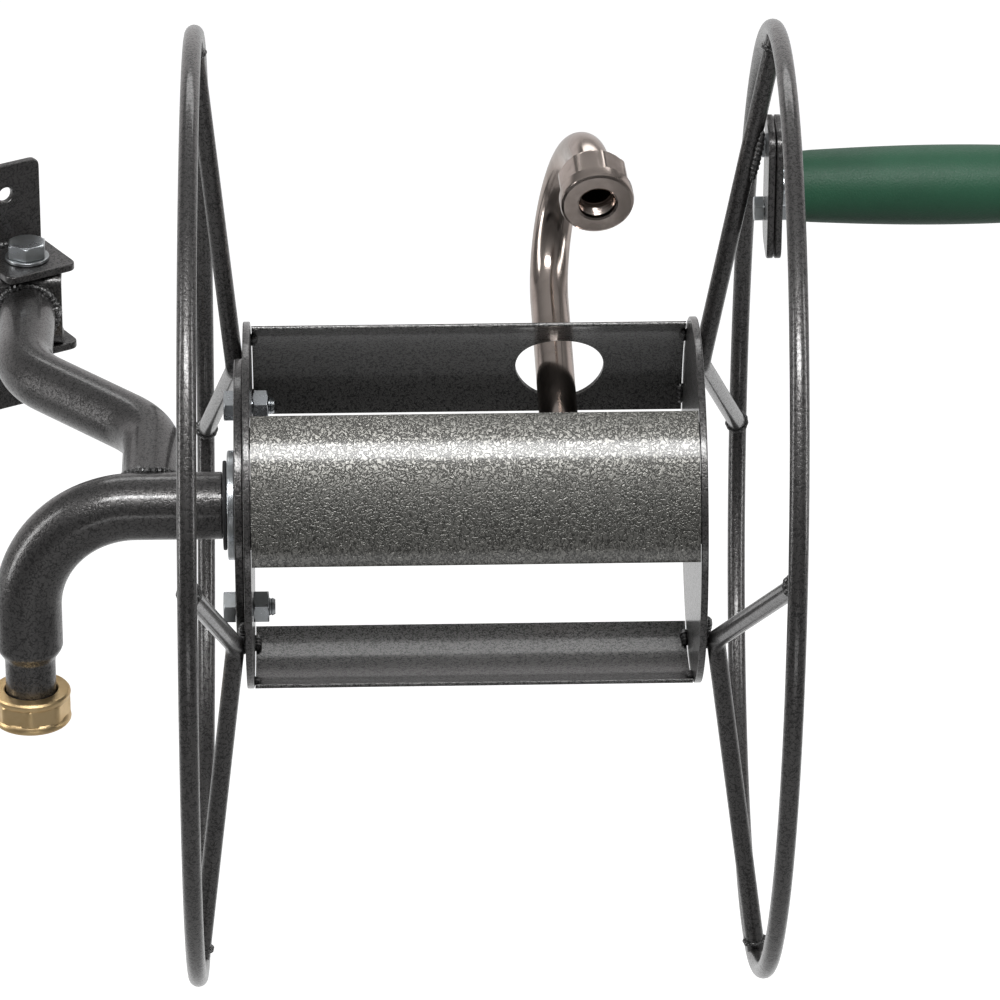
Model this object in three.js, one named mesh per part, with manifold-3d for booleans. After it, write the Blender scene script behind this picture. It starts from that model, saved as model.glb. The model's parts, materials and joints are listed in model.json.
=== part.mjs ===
// Wall-mounted swivel hose reel. Millimetres, +Z up. The wall is the plane y = 0 and the room is at -Y.
// The wall bracket stands in that frame. The arm group turns about the upright pivot bolt, and inside it
// the reel group turns about the axle, which lies along the arm group's X.
import * as THREE from 'three';
import { mergeVertices } from 'three/addons/utils/BufferGeometryUtils.js';
import Module from 'manifold-3d';

const wasm = await Module();
wasm.setup();

// ---- Fits
const GAP = 0.3; // left between pieces that touch
const TURN_GAP = 0.6; // left beside a piece that turns
const THROUGH = 4; // how far a cutter runs past the piece it cuts
const OVERLAP = 1; // how far the shapes joined into one solid run into each other

// ---- Facets around a round piece, by its size
const WIDE_SIDES = 64; // discs and rims
const TUBE_SIDES = 24; // tubes, washers, the nut and the grip
const BORE_SIDES = 16; // inside the tubes
const BOLT_SIDES = 12; // shanks, bolt holes and rods

// ---- Rest pose
const ARM_SWING = THREE.MathUtils.degToRad(-30); // arm group about the pivot bolt
const REEL_TURN = THREE.MathUtils.degToRad(-26); // reel group about the axle

// ---- Wall bracket
const STRIP_WIDTH = 34.5;
const STRIP_THICKNESS = 3.5;
const WALL_PLATE_HEIGHT = 120;
const WALL_PLATE_CORNER = 4;
const SCREW_HOLE = 7;
const SCREW_HOLE_INSET = 14.5; // hole centre below the plate's end
const EAR_REACH = 34;
const EAR_CORNER = 5;
const EAR_OPENING = 35; // clear height between the two ears
const PIVOT_REACH = 18.5; // pivot axis in front of the wall plate's front face
const PIVOT_BOLT = 9.5;
const PIVOT_HOLE = 10.3;
const PIVOT_HEX = 16;
const PIVOT_HEAD_HEIGHT = 6.4;
const PIVOT_NUT_HEIGHT = 8;
const PIVOT_WASHER = 20;
const PIVOT_WASHER_THICKNESS = 1.6;
const PIVOT_BOLT_TAIL = 4; // thread past the nut

// ---- Swivel knuckle and support arm
const KNUCKLE_WIDTH = 31;
const KNUCKLE_THICKNESS = 3.5;
const KNUCKLE_FRONT = 12; // front of the web in front of the pivot axis
const KNUCKLE_BACK = 9; // back of the legs behind the pivot axis
const ARM_TUBE = 25.4;
const ARM_WALL = 2;
const ARM_BEND = 46;
const ARM_FIRST_RUN = 76; // pivot to the first bend's corner
const ARM_SIDE_STEP = 59; // sideways offset of the second run
const ARM_SECOND_CORNER = 142; // pivot to the second bend's corner
const AXLE_REACH = 213; // pivot to the axle

// ---- Inlet pipe and hose nut
const PIPE = 28.6;
const PIPE_WALL = 2;
const PIPE_BEND = 46.6;
const PIPE_END = 89.7; // end of the pipe along the axle
const INLET_DROP_X = 6.2; // upright leg of the pipe along the axle
const PIPE_TAPER_TOP = -64.5;
const PIPE_TAPER_LENGTH = 6.6;
const NECK = 21.6;
const NECK_BORE = 16;
const NECK_LENGTH = 20.4; // below the taper, down to the flare
const FLARE = 25;
const FLARE_HEIGHT = 2;
const NUT_HEIGHT = 15;
const NUT_RIM = 33.8;
const NUT_RIM_HEIGHT = 3.6;
const NUT_FLATS = 31.2;
const NUT_TOP_WALL = 3;
const NUT_BORE = 26.4;
const GASKET_THICKNESS = 2.4;

// ---- Axle swivel
const SEAL = 38;
const SEAL_THICKNESS = 1.6;
const FLANGE = 46.5;
const FLANGE_THICKNESS = 3.3;
const BEARING_PLATE = 124;
const HUB_TUBE = 21.3;
const HUB_WALL = 2.6;
const HUB_INSERTION = 32; // how far the hub tube reaches into the inlet pipe
const SLEEVE_LENGTH = 24;

// ---- Reel
const DISC = 155.4;
const DISC_THICKNESS = 3;
const DRUM_LEFT = 102.4; // inner face of the left disc, along the axle
const DRUM_LENGTH = 186;
const SLAT_THICKNESS = 1.8;
const SLAT_SEGMENTS = 10;
const SLAT_ARC = THREE.MathUtils.degToRad(48);
const SLAT_ANGLES = { slat_back: 55, slat_front: 175.6, slat_low: 292.6 };
const ROD = 7.94;
const RIM_OUTSIDE = 406.4;
const LEFT_RIM_OFFSET = 20.4; // rim's middle outside the disc's outer face
const RIGHT_RIM_OFFSET = 28.7;
const RIM_LEANS = { left: 0.46, right: 1.28 }; // degrees out of square to the axle, about the reel's Y
const SPOKE_FOOT_RADIUS = 71.5;
const SPOKE_BEND = 9;
const SPOKE_END_CLEARANCE = 0.09; // between the far edge of a leg's square end and the rim, beyond the gap
const SPOKE_ANGLES = { upper: 55, lower: 235 };
const SPOKE_SPREAD = 45; // each leg's rim end beside the foot, in degrees

// ---- Bearing plate bolts
const PLATE_BOLT = 7.6;
const PLATE_BOLT_HOLE = 8.4;
const PLATE_BOLT_HEX = 12.7;
const PLATE_BOLT_HEAD = 5;
const PLATE_BOLT_NUT = 6.6;
const PLATE_BOLT_TAIL = 2.6;
const PLATE_BOLT_CIRCLE = 52; // radius

// ---- Gooseneck and outlet
const NECK_TUBE = 16.7;
const NECK_TUBE_WALL = 1.6;
const NECK_X = 234.9; // along the axle
const NECK_ANGLE = 52;
const NECK_RUN = 109.5; // axle to the start of the bend
const NECK_BEND = 40;
const NECK_BEND_TURN = 170;
const NECK_YAW = 12.5; // the bend's plane turned towards the handle side
const NECK_LEAN = 1.7; // the tube's run leans towards the inlet side
const NECK_TAIL = 2.5;
const SLAT_HOLE = 38;
const SLAT_HOLE_ANGLE = 50.5;
const OUTLET_LENGTH = 19;
const OUTLET_FLATS = 28.8;
const OUTLET_RIM = 31.6;
const OUTLET_RIM_LENGTH = 6.5;
const OUTLET_BORE = 15.6;
const OUTLET_SOCKET_DEPTH = 10;

// ---- Handle
const HANDLE_RADIUS = 132.4; // axle to grip axis
const HANDLE_PLATE_LENGTH = 60;
const HANDLE_PLATE_WIDTH = 30;
const HANDLE_PLATE_THICKNESS = 3;
const HANDLE_BOLT = 5.6;
const HANDLE_BOLT_HOLE = 6.4;
const HANDLE_BOLT_HEX = 10;
const HANDLE_BOLT_HEAD = 4;
const HANDLE_BOLT_NUT = 5;
const HANDLE_BOLT_TAIL = 2;
const HANDLE_BOLT_SPACING = 30;
const HANDLE_BOLT_SIDE = 9; // bolts beside the spoke rod
const STUD = 9.5;
const STUD_COLLAR = 17;
const STUD_COLLAR_LENGTH = 4.5;
const STUD_HEAD = 15;
const STUD_HEAD_LENGTH = 5;
const GRIP_LENGTH = 127;
const GRIP_MIDDLE = 34;
const GRIP_ENDS = 30;
const GRIP_EDGE = 4;
const GRIP_BORE = 12.4;
const GRIP_COUNTERBORE = 20;
const GRIP_COUNTERBORE_DEPTH = 9;

// ---- Derived places
const EAR_INNER = EAR_OPENING / 2;
const PIVOT_Y = -(STRIP_THICKNESS + PIVOT_REACH);
const PIPE_RADIUS = PIPE / 2;
const LEFT_DISC_OUTER = DRUM_LEFT - DISC_THICKNESS;
const RIGHT_DISC_INNER = DRUM_LEFT + DRUM_LENGTH;
const RIGHT_DISC_OUTER = RIGHT_DISC_INNER + DISC_THICKNESS;
const SEAL_LEFT = PIPE_END + GAP;
const SEAL_RIGHT = SEAL_LEFT + SEAL_THICKNESS;
const FLANGE_LEFT = SEAL_RIGHT + GAP;
const FLANGE_RIGHT = FLANGE_LEFT + FLANGE_THICKNESS;
const BEARING_LEFT = FLANGE_RIGHT + GAP;
const BEARING_RIGHT = LEFT_DISC_OUTER - GAP;
const DISC_RADIUS = DISC / 2;
const RIM_RADIUS = (RIM_OUTSIDE - ROD) / 2;
const RIM_INSIDE = RIM_RADIUS - ROD / 2;
const RIM_X = { left: LEFT_DISC_OUTER - LEFT_RIM_OFFSET, right: RIGHT_DISC_OUTER + RIGHT_RIM_OFFSET };
const FOOT_X = { left: LEFT_DISC_OUTER - ROD / 2 - GAP, right: RIGHT_DISC_OUTER + ROD / 2 + GAP };
const NECK_BOTTOM = PIPE_TAPER_TOP - PIPE_TAPER_LENGTH - NECK_LENGTH;

// ---- Materials
const HAMMERED = { color: 0x46474a, roughness: 0.42, metalness: 0.75 };
const ZINC = { color: 0xb9bcc0, roughness: 0.32, metalness: 0.95 };
const NICKEL = { color: 0x9a8a80, roughness: 0.2, metalness: 1 };
const BRASS = { color: 0xc9a565, roughness: 0.3, metalness: 1 };
const BLACK_RUBBER = { color: 0x17181a, roughness: 0.7, metalness: 0 };
const GREEN_PLASTIC = { color: 0x1f6a42, roughness: 0.5, metalness: 0 };

const degrees = THREE.MathUtils.degToRad;
const BEND_STEP = degrees(13); // between stations along a bend

// ---- Solids
function solid(geometry) {
  const plain = geometry.clone();
  plain.deleteAttribute('normal');
  plain.deleteAttribute('uv');
  const merged = mergeVertices(plain, 1e-4);
  const index = merged.index.array;
  const corners = [];
  for (let i = 0; i < index.length; i += 3) {
    const [a, b, c] = [index[i], index[i + 1], index[i + 2]];
    if (a !== b && b !== c && c !== a) corners.push(a, b, c);
  }
  const vertProperties = new Float32Array(merged.attributes.position.array);
  const triVerts = new Uint32Array(corners);
  return new wasm.Manifold(new wasm.Mesh({ numProp: 3, vertProperties, triVerts }));
}

function geometryOf(manifold) {
  const mesh = manifold.getMesh();
  const geometry = new THREE.BufferGeometry();
  geometry.setAttribute('position', new THREE.BufferAttribute(mesh.vertProperties, 3));
  geometry.setIndex(new THREE.BufferAttribute(mesh.triVerts, 1));
  geometry.computeVertexNormals();
  return geometry;
}

function cut(geometry, ...cutters) {
  return geometryOf(cutters.reduce((body, cutter) => body.subtract(solid(cutter)), solid(geometry)));
}

function join(...geometries) {
  return geometryOf(geometries.map(solid).reduce((body, next) => body.add(next)));
}

// A profile of [radius, height] points turned about Z. It closes on itself or starts and ends on the axis.
function turned(profile, sides = TUBE_SIDES) {
  const points = profile.map(([radius, height]) => new THREE.Vector2(radius, height));
  return new THREE.LatheGeometry(points, sides).rotateX(Math.PI / 2);
}

function rod(radius, from, to, sides = BOLT_SIDES) {
  return turned([[0, from], [radius, from], [radius, to], [0, to]], sides);
}

function washer(outer, bore, from, to, sides = TUBE_SIDES) {
  const [inside, outside] = [bore / 2, outer / 2];
  return turned([[inside, from], [outside, from], [outside, to], [inside, to], [inside, from]], sides);
}

// A regular prism along Z, measured across its flats.
function prism(sides, acrossFlats, from, to) {
  const corner = acrossFlats / 2 / Math.cos(Math.PI / sides);
  return rod(corner, from, to, sides);
}

// Turns a shape that was made along Z so that it lies along the axle, X.
function alongAxle(geometry) {
  return geometry.rotateY(Math.PI / 2);
}

function roundedRectangle(width, height, corner) {
  const [x, y] = [width / 2, height / 2];
  const shape = new THREE.Shape();
  shape.absarc(x - corner, y - corner, corner, 0, Math.PI / 2);
  shape.absarc(-x + corner, y - corner, corner, Math.PI / 2, Math.PI);
  shape.absarc(-x + corner, -y + corner, corner, Math.PI, Math.PI * 1.5);
  shape.absarc(x - corner, -y + corner, corner, Math.PI * 1.5, Math.PI * 2);
  return shape;
}

function hole(x, y, diameter) {
  return new THREE.Path().absarc(x, y, diameter / 2, 0, Math.PI * 2, true);
}

function plate(shape, thickness, curveSegments = 4) {
  return new THREE.ExtrudeGeometry(shape, { depth: thickness, bevelEnabled: false, curveSegments });
}

// The centre line of a bent rod or tube: straight runs between corners, each corner rounded by an arc.
// A station stands at each end of each run and along each arc.
class BentPath extends THREE.Curve {
  constructor(corners, bendRadius, stepAngle = BEND_STEP) {
    super();
    this.stations = [corners[0]];
    this.tangents = [corners[1].clone().sub(corners[0]).normalize()];
    for (let i = 1; i < corners.length - 1; i += 1) this.addBend(corners, i, bendRadius, stepAngle);
    this.stations.push(corners.at(-1));
    this.tangents.push(corners.at(-1).clone().sub(corners.at(-2)).normalize());
  }

  addBend(corners, i, bendRadius, stepAngle) {
    const into = corners[i].clone().sub(corners[i - 1]).normalize();
    const out = corners[i + 1].clone().sub(corners[i]).normalize();
    const turn = into.angleTo(out);
    const start = corners[i].clone().addScaledVector(into, -bendRadius * Math.tan(turn / 2));
    const axis = into.clone().cross(out).normalize();
    const inward = axis.clone().cross(into);
    const centre = start.clone().addScaledVector(inward, bendRadius);
    const steps = Math.ceil(turn / stepAngle);
    for (let step = 0; step <= steps; step += 1) {
      const angle = (turn * step) / steps;
      const spoke = inward.clone().multiplyScalar(-bendRadius).applyAxisAngle(axis, angle);
      this.stations.push(centre.clone().add(spoke));
      this.tangents.push(into.clone().applyAxisAngle(axis, angle));
    }
  }

  get steps() {
    return this.stations.length - 1;
  }

  getSpacedPoints() {
    return this.stations;
  }

  getTangentAt(u) {
    return this.tangents[Math.round(u * this.steps)].clone();
  }
}

function sweep(path, diameter, sides) {
  const points = [];
  for (let i = 0; i < sides; i += 1) {
    const angle = (i / sides) * Math.PI * 2;
    points.push(new THREE.Vector2(Math.cos(angle), Math.sin(angle)).multiplyScalar(diameter / 2));
  }
  return new THREE.ExtrudeGeometry(new THREE.Shape(points), { steps: path.steps, extrudePath: path });
}

function vector(x, y, z) {
  return new THREE.Vector3(x, y, z);
}

// A point of the reel group at a distance from the axle, at an angle from +Y towards +Z.
function aroundAxle(x, radius, angle) {
  return vector(x, radius * Math.cos(degrees(angle)), radius * Math.sin(degrees(angle)));
}

function named(name, geometry, material, position = vector(0, 0, 0)) {
  const mesh = new THREE.Mesh(geometry, new THREE.MeshStandardMaterial(material));
  mesh.name = name;
  mesh.position.copy(position);
  return mesh;
}

// ---- Wall bracket
function wallPlate() {
  const shape = roundedRectangle(STRIP_WIDTH, WALL_PLATE_HEIGHT, WALL_PLATE_CORNER);
  const reach = WALL_PLATE_HEIGHT / 2 - SCREW_HOLE_INSET;
  shape.holes = [hole(0, reach, SCREW_HOLE), hole(0, -reach, SCREW_HOLE)];
  return plate(shape, STRIP_THICKNESS).rotateX(Math.PI / 2);
}

// An ear lies flat with its back edge on the wall plate and its pivot hole at the origin.
function ear() {
  const back = PIVOT_REACH - GAP;
  const front = back - EAR_REACH;
  const side = STRIP_WIDTH / 2;
  const shape = new THREE.Shape();
  shape.moveTo(side, back);
  shape.lineTo(-side, back);
  shape.absarc(-side + EAR_CORNER, front + EAR_CORNER, EAR_CORNER, Math.PI, Math.PI * 1.5);
  shape.absarc(side - EAR_CORNER, front + EAR_CORNER, EAR_CORNER, Math.PI * 1.5, Math.PI * 2);
  shape.holes = [hole(0, 0, PIVOT_HOLE)];
  return plate(shape, STRIP_THICKNESS);
}

function pivotBolt() {
  const seat = EAR_INNER + STRIP_THICKNESS + GAP + PIVOT_WASHER_THICKNESS + GAP;
  const tail = -(EAR_INNER + STRIP_THICKNESS + GAP + PIVOT_NUT_HEIGHT + PIVOT_BOLT_TAIL);
  const head = prism(6, PIVOT_HEX, seat, seat + PIVOT_HEAD_HEIGHT);
  return join(head, rod(PIVOT_BOLT / 2, tail, seat + OVERLAP));
}

function pivotNut() {
  const top = -(EAR_INNER + STRIP_THICKNESS + GAP);
  const bore = rod(PIVOT_BOLT / 2 + GAP, top - PIVOT_NUT_HEIGHT - THROUGH, top + THROUGH);
  return cut(prism(6, PIVOT_HEX, top - PIVOT_NUT_HEIGHT, top), bore);
}

function wallBracket() {
  const group = new THREE.Group();
  const pivot = vector(0, PIVOT_Y, 0);
  const washerBottom = EAR_INNER + STRIP_THICKNESS + GAP;
  const washerTop = washerBottom + PIVOT_WASHER_THICKNESS;
  group.add(named('wall_plate', wallPlate(), HAMMERED));
  group.add(named('upper_ear', ear(), HAMMERED, vector(0, PIVOT_Y, EAR_INNER)));
  group.add(named('lower_ear', ear(), HAMMERED, vector(0, PIVOT_Y, -EAR_INNER - STRIP_THICKNESS)));
  group.add(named('pivot_bolt', pivotBolt(), ZINC, pivot));
  group.add(named('pivot_washer', washer(PIVOT_WASHER, PIVOT_HOLE, washerBottom, washerTop), ZINC, pivot));
  group.add(named('pivot_nut', pivotNut(), ZINC, pivot));
  return group;
}

// ---- Swivel knuckle and support arm
function knuckle() {
  const half = EAR_INNER - GAP;
  const side = KNUCKLE_WIDTH / 2;
  const legs = new THREE.Shape();
  legs.moveTo(-side, -KNUCKLE_FRONT);
  legs.lineTo(side, -KNUCKLE_FRONT);
  legs.lineTo(side, 0);
  legs.ellipse(-side, 0, side, KNUCKLE_BACK, 0, Math.PI);
  legs.closePath();
  const block = plate(legs, 2 * half, 10).translate(0, 0, -half);
  const room = new THREE.BoxGeometry(2 * KNUCKLE_WIDTH, 2 * KNUCKLE_WIDTH, 2 * (half - KNUCKLE_THICKNESS));
  room.translate(0, KNUCKLE_WIDTH - KNUCKLE_FRONT + KNUCKLE_THICKNESS, 0);
  return cut(block, room, rod(PIVOT_HOLE / 2, -half - THROUGH, half + THROUGH));
}

function supportArm() {
  const path = new BentPath([
    vector(0, -KNUCKLE_FRONT - GAP, 0),
    vector(0, -ARM_FIRST_RUN, 0),
    vector(ARM_SIDE_STEP, -ARM_SECOND_CORNER, 0),
    vector(ARM_SIDE_STEP, -AXLE_REACH, 0),
  ], ARM_BEND);
  const saddle = sweep(inletPath(PIPE_END), PIPE + 2 * GAP, TUBE_SIDES).translate(0, -AXLE_REACH, 0);
  return cut(sweep(path, ARM_TUBE, TUBE_SIDES), sweep(path, ARM_TUBE - 2 * ARM_WALL, BORE_SIDES), saddle);
}

// ---- Inlet pipe, in a frame with the axle at y = z = 0
function inletPath(end) {
  const corner = vector(INLET_DROP_X, 0, 0);
  return new BentPath([vector(end, 0, 0), corner, corner.clone().setZ(PIPE_TAPER_TOP)], PIPE_BEND);
}

function inletPipe() {
  const taperBottom = PIPE_TAPER_TOP - PIPE_TAPER_LENGTH;
  const bore = PIPE_RADIUS - PIPE_WALL;
  const low = turned([
    [0, PIPE_TAPER_TOP + OVERLAP / 2], [PIPE_RADIUS, PIPE_TAPER_TOP + OVERLAP / 2],
    [PIPE_RADIUS, PIPE_TAPER_TOP], [NECK / 2, taperBottom],
    [NECK / 2, NECK_BOTTOM + FLARE_HEIGHT], [FLARE / 2, NECK_BOTTOM + FLARE_HEIGHT],
    [FLARE / 2, NECK_BOTTOM], [0, NECK_BOTTOM],
  ].reverse()).translate(INLET_DROP_X, 0, 0);
  const lowBore = turned([
    [0, PIPE_TAPER_TOP + OVERLAP], [bore, PIPE_TAPER_TOP + OVERLAP], [bore, PIPE_TAPER_TOP],
    [NECK_BORE / 2, taperBottom], [NECK_BORE / 2, NECK_BOTTOM - THROUGH], [0, NECK_BOTTOM - THROUGH],
  ].reverse(), BORE_SIDES).translate(INLET_DROP_X, 0, 0);
  const bend = sweep(inletPath(PIPE_END), PIPE, TUBE_SIDES);
  return cut(join(bend, low), sweep(inletPath(PIPE_END + THROUGH), 2 * bore, BORE_SIDES), lowBore);
}

// The hose nut turns on the neck above the flare. Its waist is faceted between two round rims.
function inletNut() {
  const top = NECK_BOTTOM + FLARE_HEIGHT + TURN_GAP + NUT_TOP_WALL;
  const bottom = top - NUT_HEIGHT;
  const edge = 1.2;
  const rims = [[top - NUT_RIM_HEIGHT, top], [bottom, bottom + NUT_RIM_HEIGHT]].map(([from, to]) => turned([
    [0, from], [NUT_RIM / 2 - edge, from], [NUT_RIM / 2, from + edge],
    [NUT_RIM / 2, to - edge], [NUT_RIM / 2 - edge, to], [0, to],
  ], TUBE_SIDES));
  const waist = prism(8, NUT_FLATS, bottom + OVERLAP, top - OVERLAP);
  const bore = rod(NUT_BORE / 2, bottom - THROUGH, top - NUT_TOP_WALL, TUBE_SIDES);
  const neckHole = rod(NECK / 2 + TURN_GAP, bottom, top + THROUGH, TUBE_SIDES);
  return cut(join(waist, ...rims), bore, neckHole).translate(INLET_DROP_X, 0, 0);
}

function gasket() {
  const top = NECK_BOTTOM - GAP;
  return washer(NUT_BORE - 2 * GAP, NECK_BORE, top - GASKET_THICKNESS, top).translate(INLET_DROP_X, 0, 0);
}

function axleSleeve() {
  const right = PIPE_END - TURN_GAP;
  return alongAxle(washer(PIPE - 2 * PIPE_WALL - 2 * GAP, HUB_TUBE + 2 * GAP, right - SLEEVE_LENGTH, right));
}

// ---- Reel
function disc(diameter, left, right, holes) {
  const body = alongAxle(rod(diameter / 2, left, right, WIDE_SIDES));
  return cut(body, ...holes);
}

function axleHole(left, right) {
  return alongAxle(rod(HUB_TUBE / 2 + GAP, left - THROUGH, right + THROUGH, TUBE_SIDES));
}

function plateBoltHoles(left, right) {
  return Object.values(SPOKE_ANGLES).map((angle) => {
    const centre = aroundAxle(0, PLATE_BOLT_CIRCLE, angle);
    const cutter = alongAxle(rod(PLATE_BOLT_HOLE / 2, left - THROUGH, right + THROUGH));
    return cutter.translate(0, centre.y, centre.z);
  });
}

function slat(angle) {
  const middle = degrees(angle);
  const [from, to] = [middle - SLAT_ARC / 2, middle + SLAT_ARC / 2];
  const shape = new THREE.Shape();
  shape.absarc(0, 0, DISC_RADIUS, from, to);
  shape.absarc(0, 0, DISC_RADIUS - SLAT_THICKNESS, to, from, true);
  shape.closePath();
  const body = plate(shape, DRUM_LENGTH - 2 * GAP, SLAT_SEGMENTS);
  return body.applyMatrix4(axleBasis).translate(DRUM_LEFT + GAP, 0, 0);
}

// Shape X and Y become the reel's Y and Z, and the extrusion runs along the axle.
const axleBasis = new THREE.Matrix4().makeBasis(vector(0, 1, 0), vector(0, 0, 1), vector(1, 0, 0));

function slatWithHole(angle) {
  const cutter = rod(SLAT_HOLE / 2, DISC_RADIUS / 2, DISC_RADIUS * 1.5, 2 * BORE_SIDES);
  cutter.rotateX(degrees(SLAT_HOLE_ANGLE - 90)).translate(NECK_X, 0, 0);
  return cut(slat(angle), cutter);
}

function rim(side) {
  const ring = new THREE.TorusGeometry(RIM_RADIUS, ROD / 2, 10, WIDE_SIDES);
  return ring.rotateY(Math.PI / 2 + degrees(RIM_LEANS[side])).translate(RIM_X[side], 0, 0);
}

// A leg runs to the rim from beside the radius, so one edge of its square end stands out past its middle.
function spokeReach() {
  const spread = degrees(SPOKE_SPREAD);
  const outward = RIM_INSIDE - SPOKE_FOOT_RADIUS * Math.cos(spread);
  const slant = Math.atan2(SPOKE_FOOT_RADIUS * Math.sin(spread), outward);
  return RIM_INSIDE - GAP - (ROD / 2) * Math.sin(slant) - SPOKE_END_CLEARANCE;
}

// Where a spoke's end meets the leaning rim.
function spokeTip(side, angle) {
  const tip = aroundAxle(RIM_X[side], spokeReach(), angle);
  return tip.setX(tip.x + tip.z * Math.tan(degrees(RIM_LEANS[side])));
}

// One bent rod makes two spokes: its foot is welded to the disc and both legs run out to the rim.
function spokePair(side, angle) {
  const path = new BentPath([
    spokeTip(side, angle - SPOKE_SPREAD),
    aroundAxle(FOOT_X[side], SPOKE_FOOT_RADIUS, angle),
    spokeTip(side, angle + SPOKE_SPREAD),
  ], SPOKE_BEND);
  return sweep(path, ROD, BOLT_SIDES);
}

function hubTube() {
  const left = PIPE_END - HUB_INSERTION;
  const right = RIGHT_DISC_INNER - GAP;
  const tube = alongAxle(rod(HUB_TUBE / 2, left, right, TUBE_SIDES));
  const bore = alongAxle(rod(HUB_TUBE / 2 - HUB_WALL, left - THROUGH, right + THROUGH, BORE_SIDES));
  const sideHole = placeGooseneck(rod(NECK_TUBE / 2 - NECK_TUBE_WALL, 0, HUB_TUBE, BORE_SIDES));
  return cut(tube, bore, sideHole);
}

function plateBolt(angle) {
  const seat = BEARING_LEFT - GAP;
  const tail = DRUM_LEFT + GAP + PLATE_BOLT_NUT + PLATE_BOLT_TAIL;
  const head = prism(6, PLATE_BOLT_HEX, seat - PLATE_BOLT_HEAD, seat);
  const body = join(head, rod(PLATE_BOLT / 2, seat - OVERLAP, tail));
  const centre = aroundAxle(0, PLATE_BOLT_CIRCLE, angle);
  return alongAxle(body).translate(0, centre.y, centre.z);
}

function plateNut(angle) {
  const left = DRUM_LEFT + GAP;
  const bore = rod(PLATE_BOLT / 2 + GAP, left - THROUGH, left + PLATE_BOLT_NUT + THROUGH);
  const centre = aroundAxle(0, PLATE_BOLT_CIRCLE, angle);
  const body = cut(prism(6, PLATE_BOLT_HEX, left, left + PLATE_BOLT_NUT), bore);
  return alongAxle(body).translate(0, centre.y, centre.z);
}

// ---- Gooseneck, in a frame with its root on the axle, running out along Z and bending towards -Y
function gooseneckPath() {
  const turn = degrees(NECK_BEND_TURN);
  const half = turn / 2;
  const corner = NECK_BEND * Math.tan(half / 2);
  const first = vector(0, 0, NECK_RUN + corner);
  const second = first.clone().add(vector(0, -Math.sin(half), Math.cos(half)).multiplyScalar(2 * corner));
  const tail = corner + NECK_TAIL + OUTLET_SOCKET_DEPTH;
  const end = vector(0, -Math.sin(turn), Math.cos(turn)).multiplyScalar(tail);
  return new BentPath([vector(0, 0, 0), first, second, end.add(second)], NECK_BEND);
}

function placeGooseneck(geometry) {
  geometry.rotateZ(degrees(NECK_YAW)).rotateY(-degrees(NECK_LEAN));
  return geometry.rotateX(degrees(NECK_ANGLE - 90)).translate(NECK_X, 0, 0);
}

function gooseneck() {
  const path = gooseneckPath();
  const outside = placeGooseneck(sweep(path, NECK_TUBE, TUBE_SIDES));
  const bore = placeGooseneck(sweep(path, NECK_TUBE - 2 * NECK_TUBE_WALL, BORE_SIDES));
  const hub = alongAxle(rod(HUB_TUBE / 2 + GAP, NECK_X - HUB_TUBE, NECK_X + HUB_TUBE, WIDE_SIDES));
  return cut(outside, bore, hub);
}

function outletFitting() {
  const path = gooseneckPath();
  const bevel = 1.5;
  const body = join(
    prism(8, OUTLET_FLATS, 0, OUTLET_LENGTH - OVERLAP),
    turned([
      [0, OUTLET_LENGTH - OUTLET_RIM_LENGTH], [OUTLET_RIM / 2, OUTLET_LENGTH - OUTLET_RIM_LENGTH],
      [OUTLET_RIM / 2, OUTLET_LENGTH - bevel], [OUTLET_RIM / 2 - bevel, OUTLET_LENGTH], [0, OUTLET_LENGTH],
    ]),
  );
  const socket = rod(NECK_TUBE / 2 + GAP, -THROUGH, OUTLET_SOCKET_DEPTH + GAP, TUBE_SIDES);
  const bore = rod(OUTLET_BORE / 2, 0, OUTLET_LENGTH + THROUGH, TUBE_SIDES);
  const fitting = cut(body, socket, bore);
  const tip = path.stations.at(-1);
  fitting.translate(0, 0, -OUTLET_SOCKET_DEPTH);
  fitting.rotateX(degrees(NECK_BEND_TURN)).translate(tip.x, tip.y, tip.z);
  return placeGooseneck(fitting);
}

// ---- Handle
// The handle sits on the upper spoke that is nearer the top. Its plates lie along that spoke, seen from
// the end of the axle, and stand parallel to the rim.
function handleFrame() {
  const foot = aroundAxle(FOOT_X.right, SPOKE_FOOT_RADIUS, SPOKE_ANGLES.upper);
  const tip = spokeTip('right', SPOKE_ANGLES.upper + SPOKE_SPREAD);
  const direction = tip.clone().sub(foot).setX(0).normalize();
  const along = foot.clone().setX(0).dot(direction);
  const share = Math.sqrt(HANDLE_RADIUS ** 2 - foot.clone().setX(0).lengthSq() + along ** 2) - along;
  const length = tip.clone().sub(foot).setX(0).length();
  const centre = foot.clone().lerp(tip, share / length);
  const slope = (tip.x - foot.x) / length;
  const touch = Math.min(HANDLE_PLATE_LENGTH / 2, length - share); // where the rod meets the plate
  const plateLeft = centre.x + slope * touch + (ROD / 2) * Math.hypot(1, slope) + GAP;
  return { centre, angle: Math.atan2(direction.z, direction.y), plateLeft };
}

// Places a piece made along Z, with shape X along the spoke, so that its origin is on the grip axis.
function placeHandle(geometry, x) {
  const { centre, angle } = handleFrame();
  const placed = geometry.applyMatrix4(axleBasis);
  return placed.rotateX(angle).translate(x, centre.y, centre.z);
}

const HANDLE_BOLT_PLACES = { upper: HANDLE_BOLT_SPACING / 2, lower: -HANDLE_BOLT_SPACING / 2 };

function handlePlate(x) {
  const shape = roundedRectangle(HANDLE_PLATE_LENGTH, HANDLE_PLATE_WIDTH, HANDLE_PLATE_WIDTH / 3);
  const places = Object.values(HANDLE_BOLT_PLACES);
  shape.holes = places.map((along) => hole(along, -HANDLE_BOLT_SIDE, HANDLE_BOLT_HOLE));
  return placeHandle(plate(shape, HANDLE_PLATE_THICKNESS), x);
}

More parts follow.
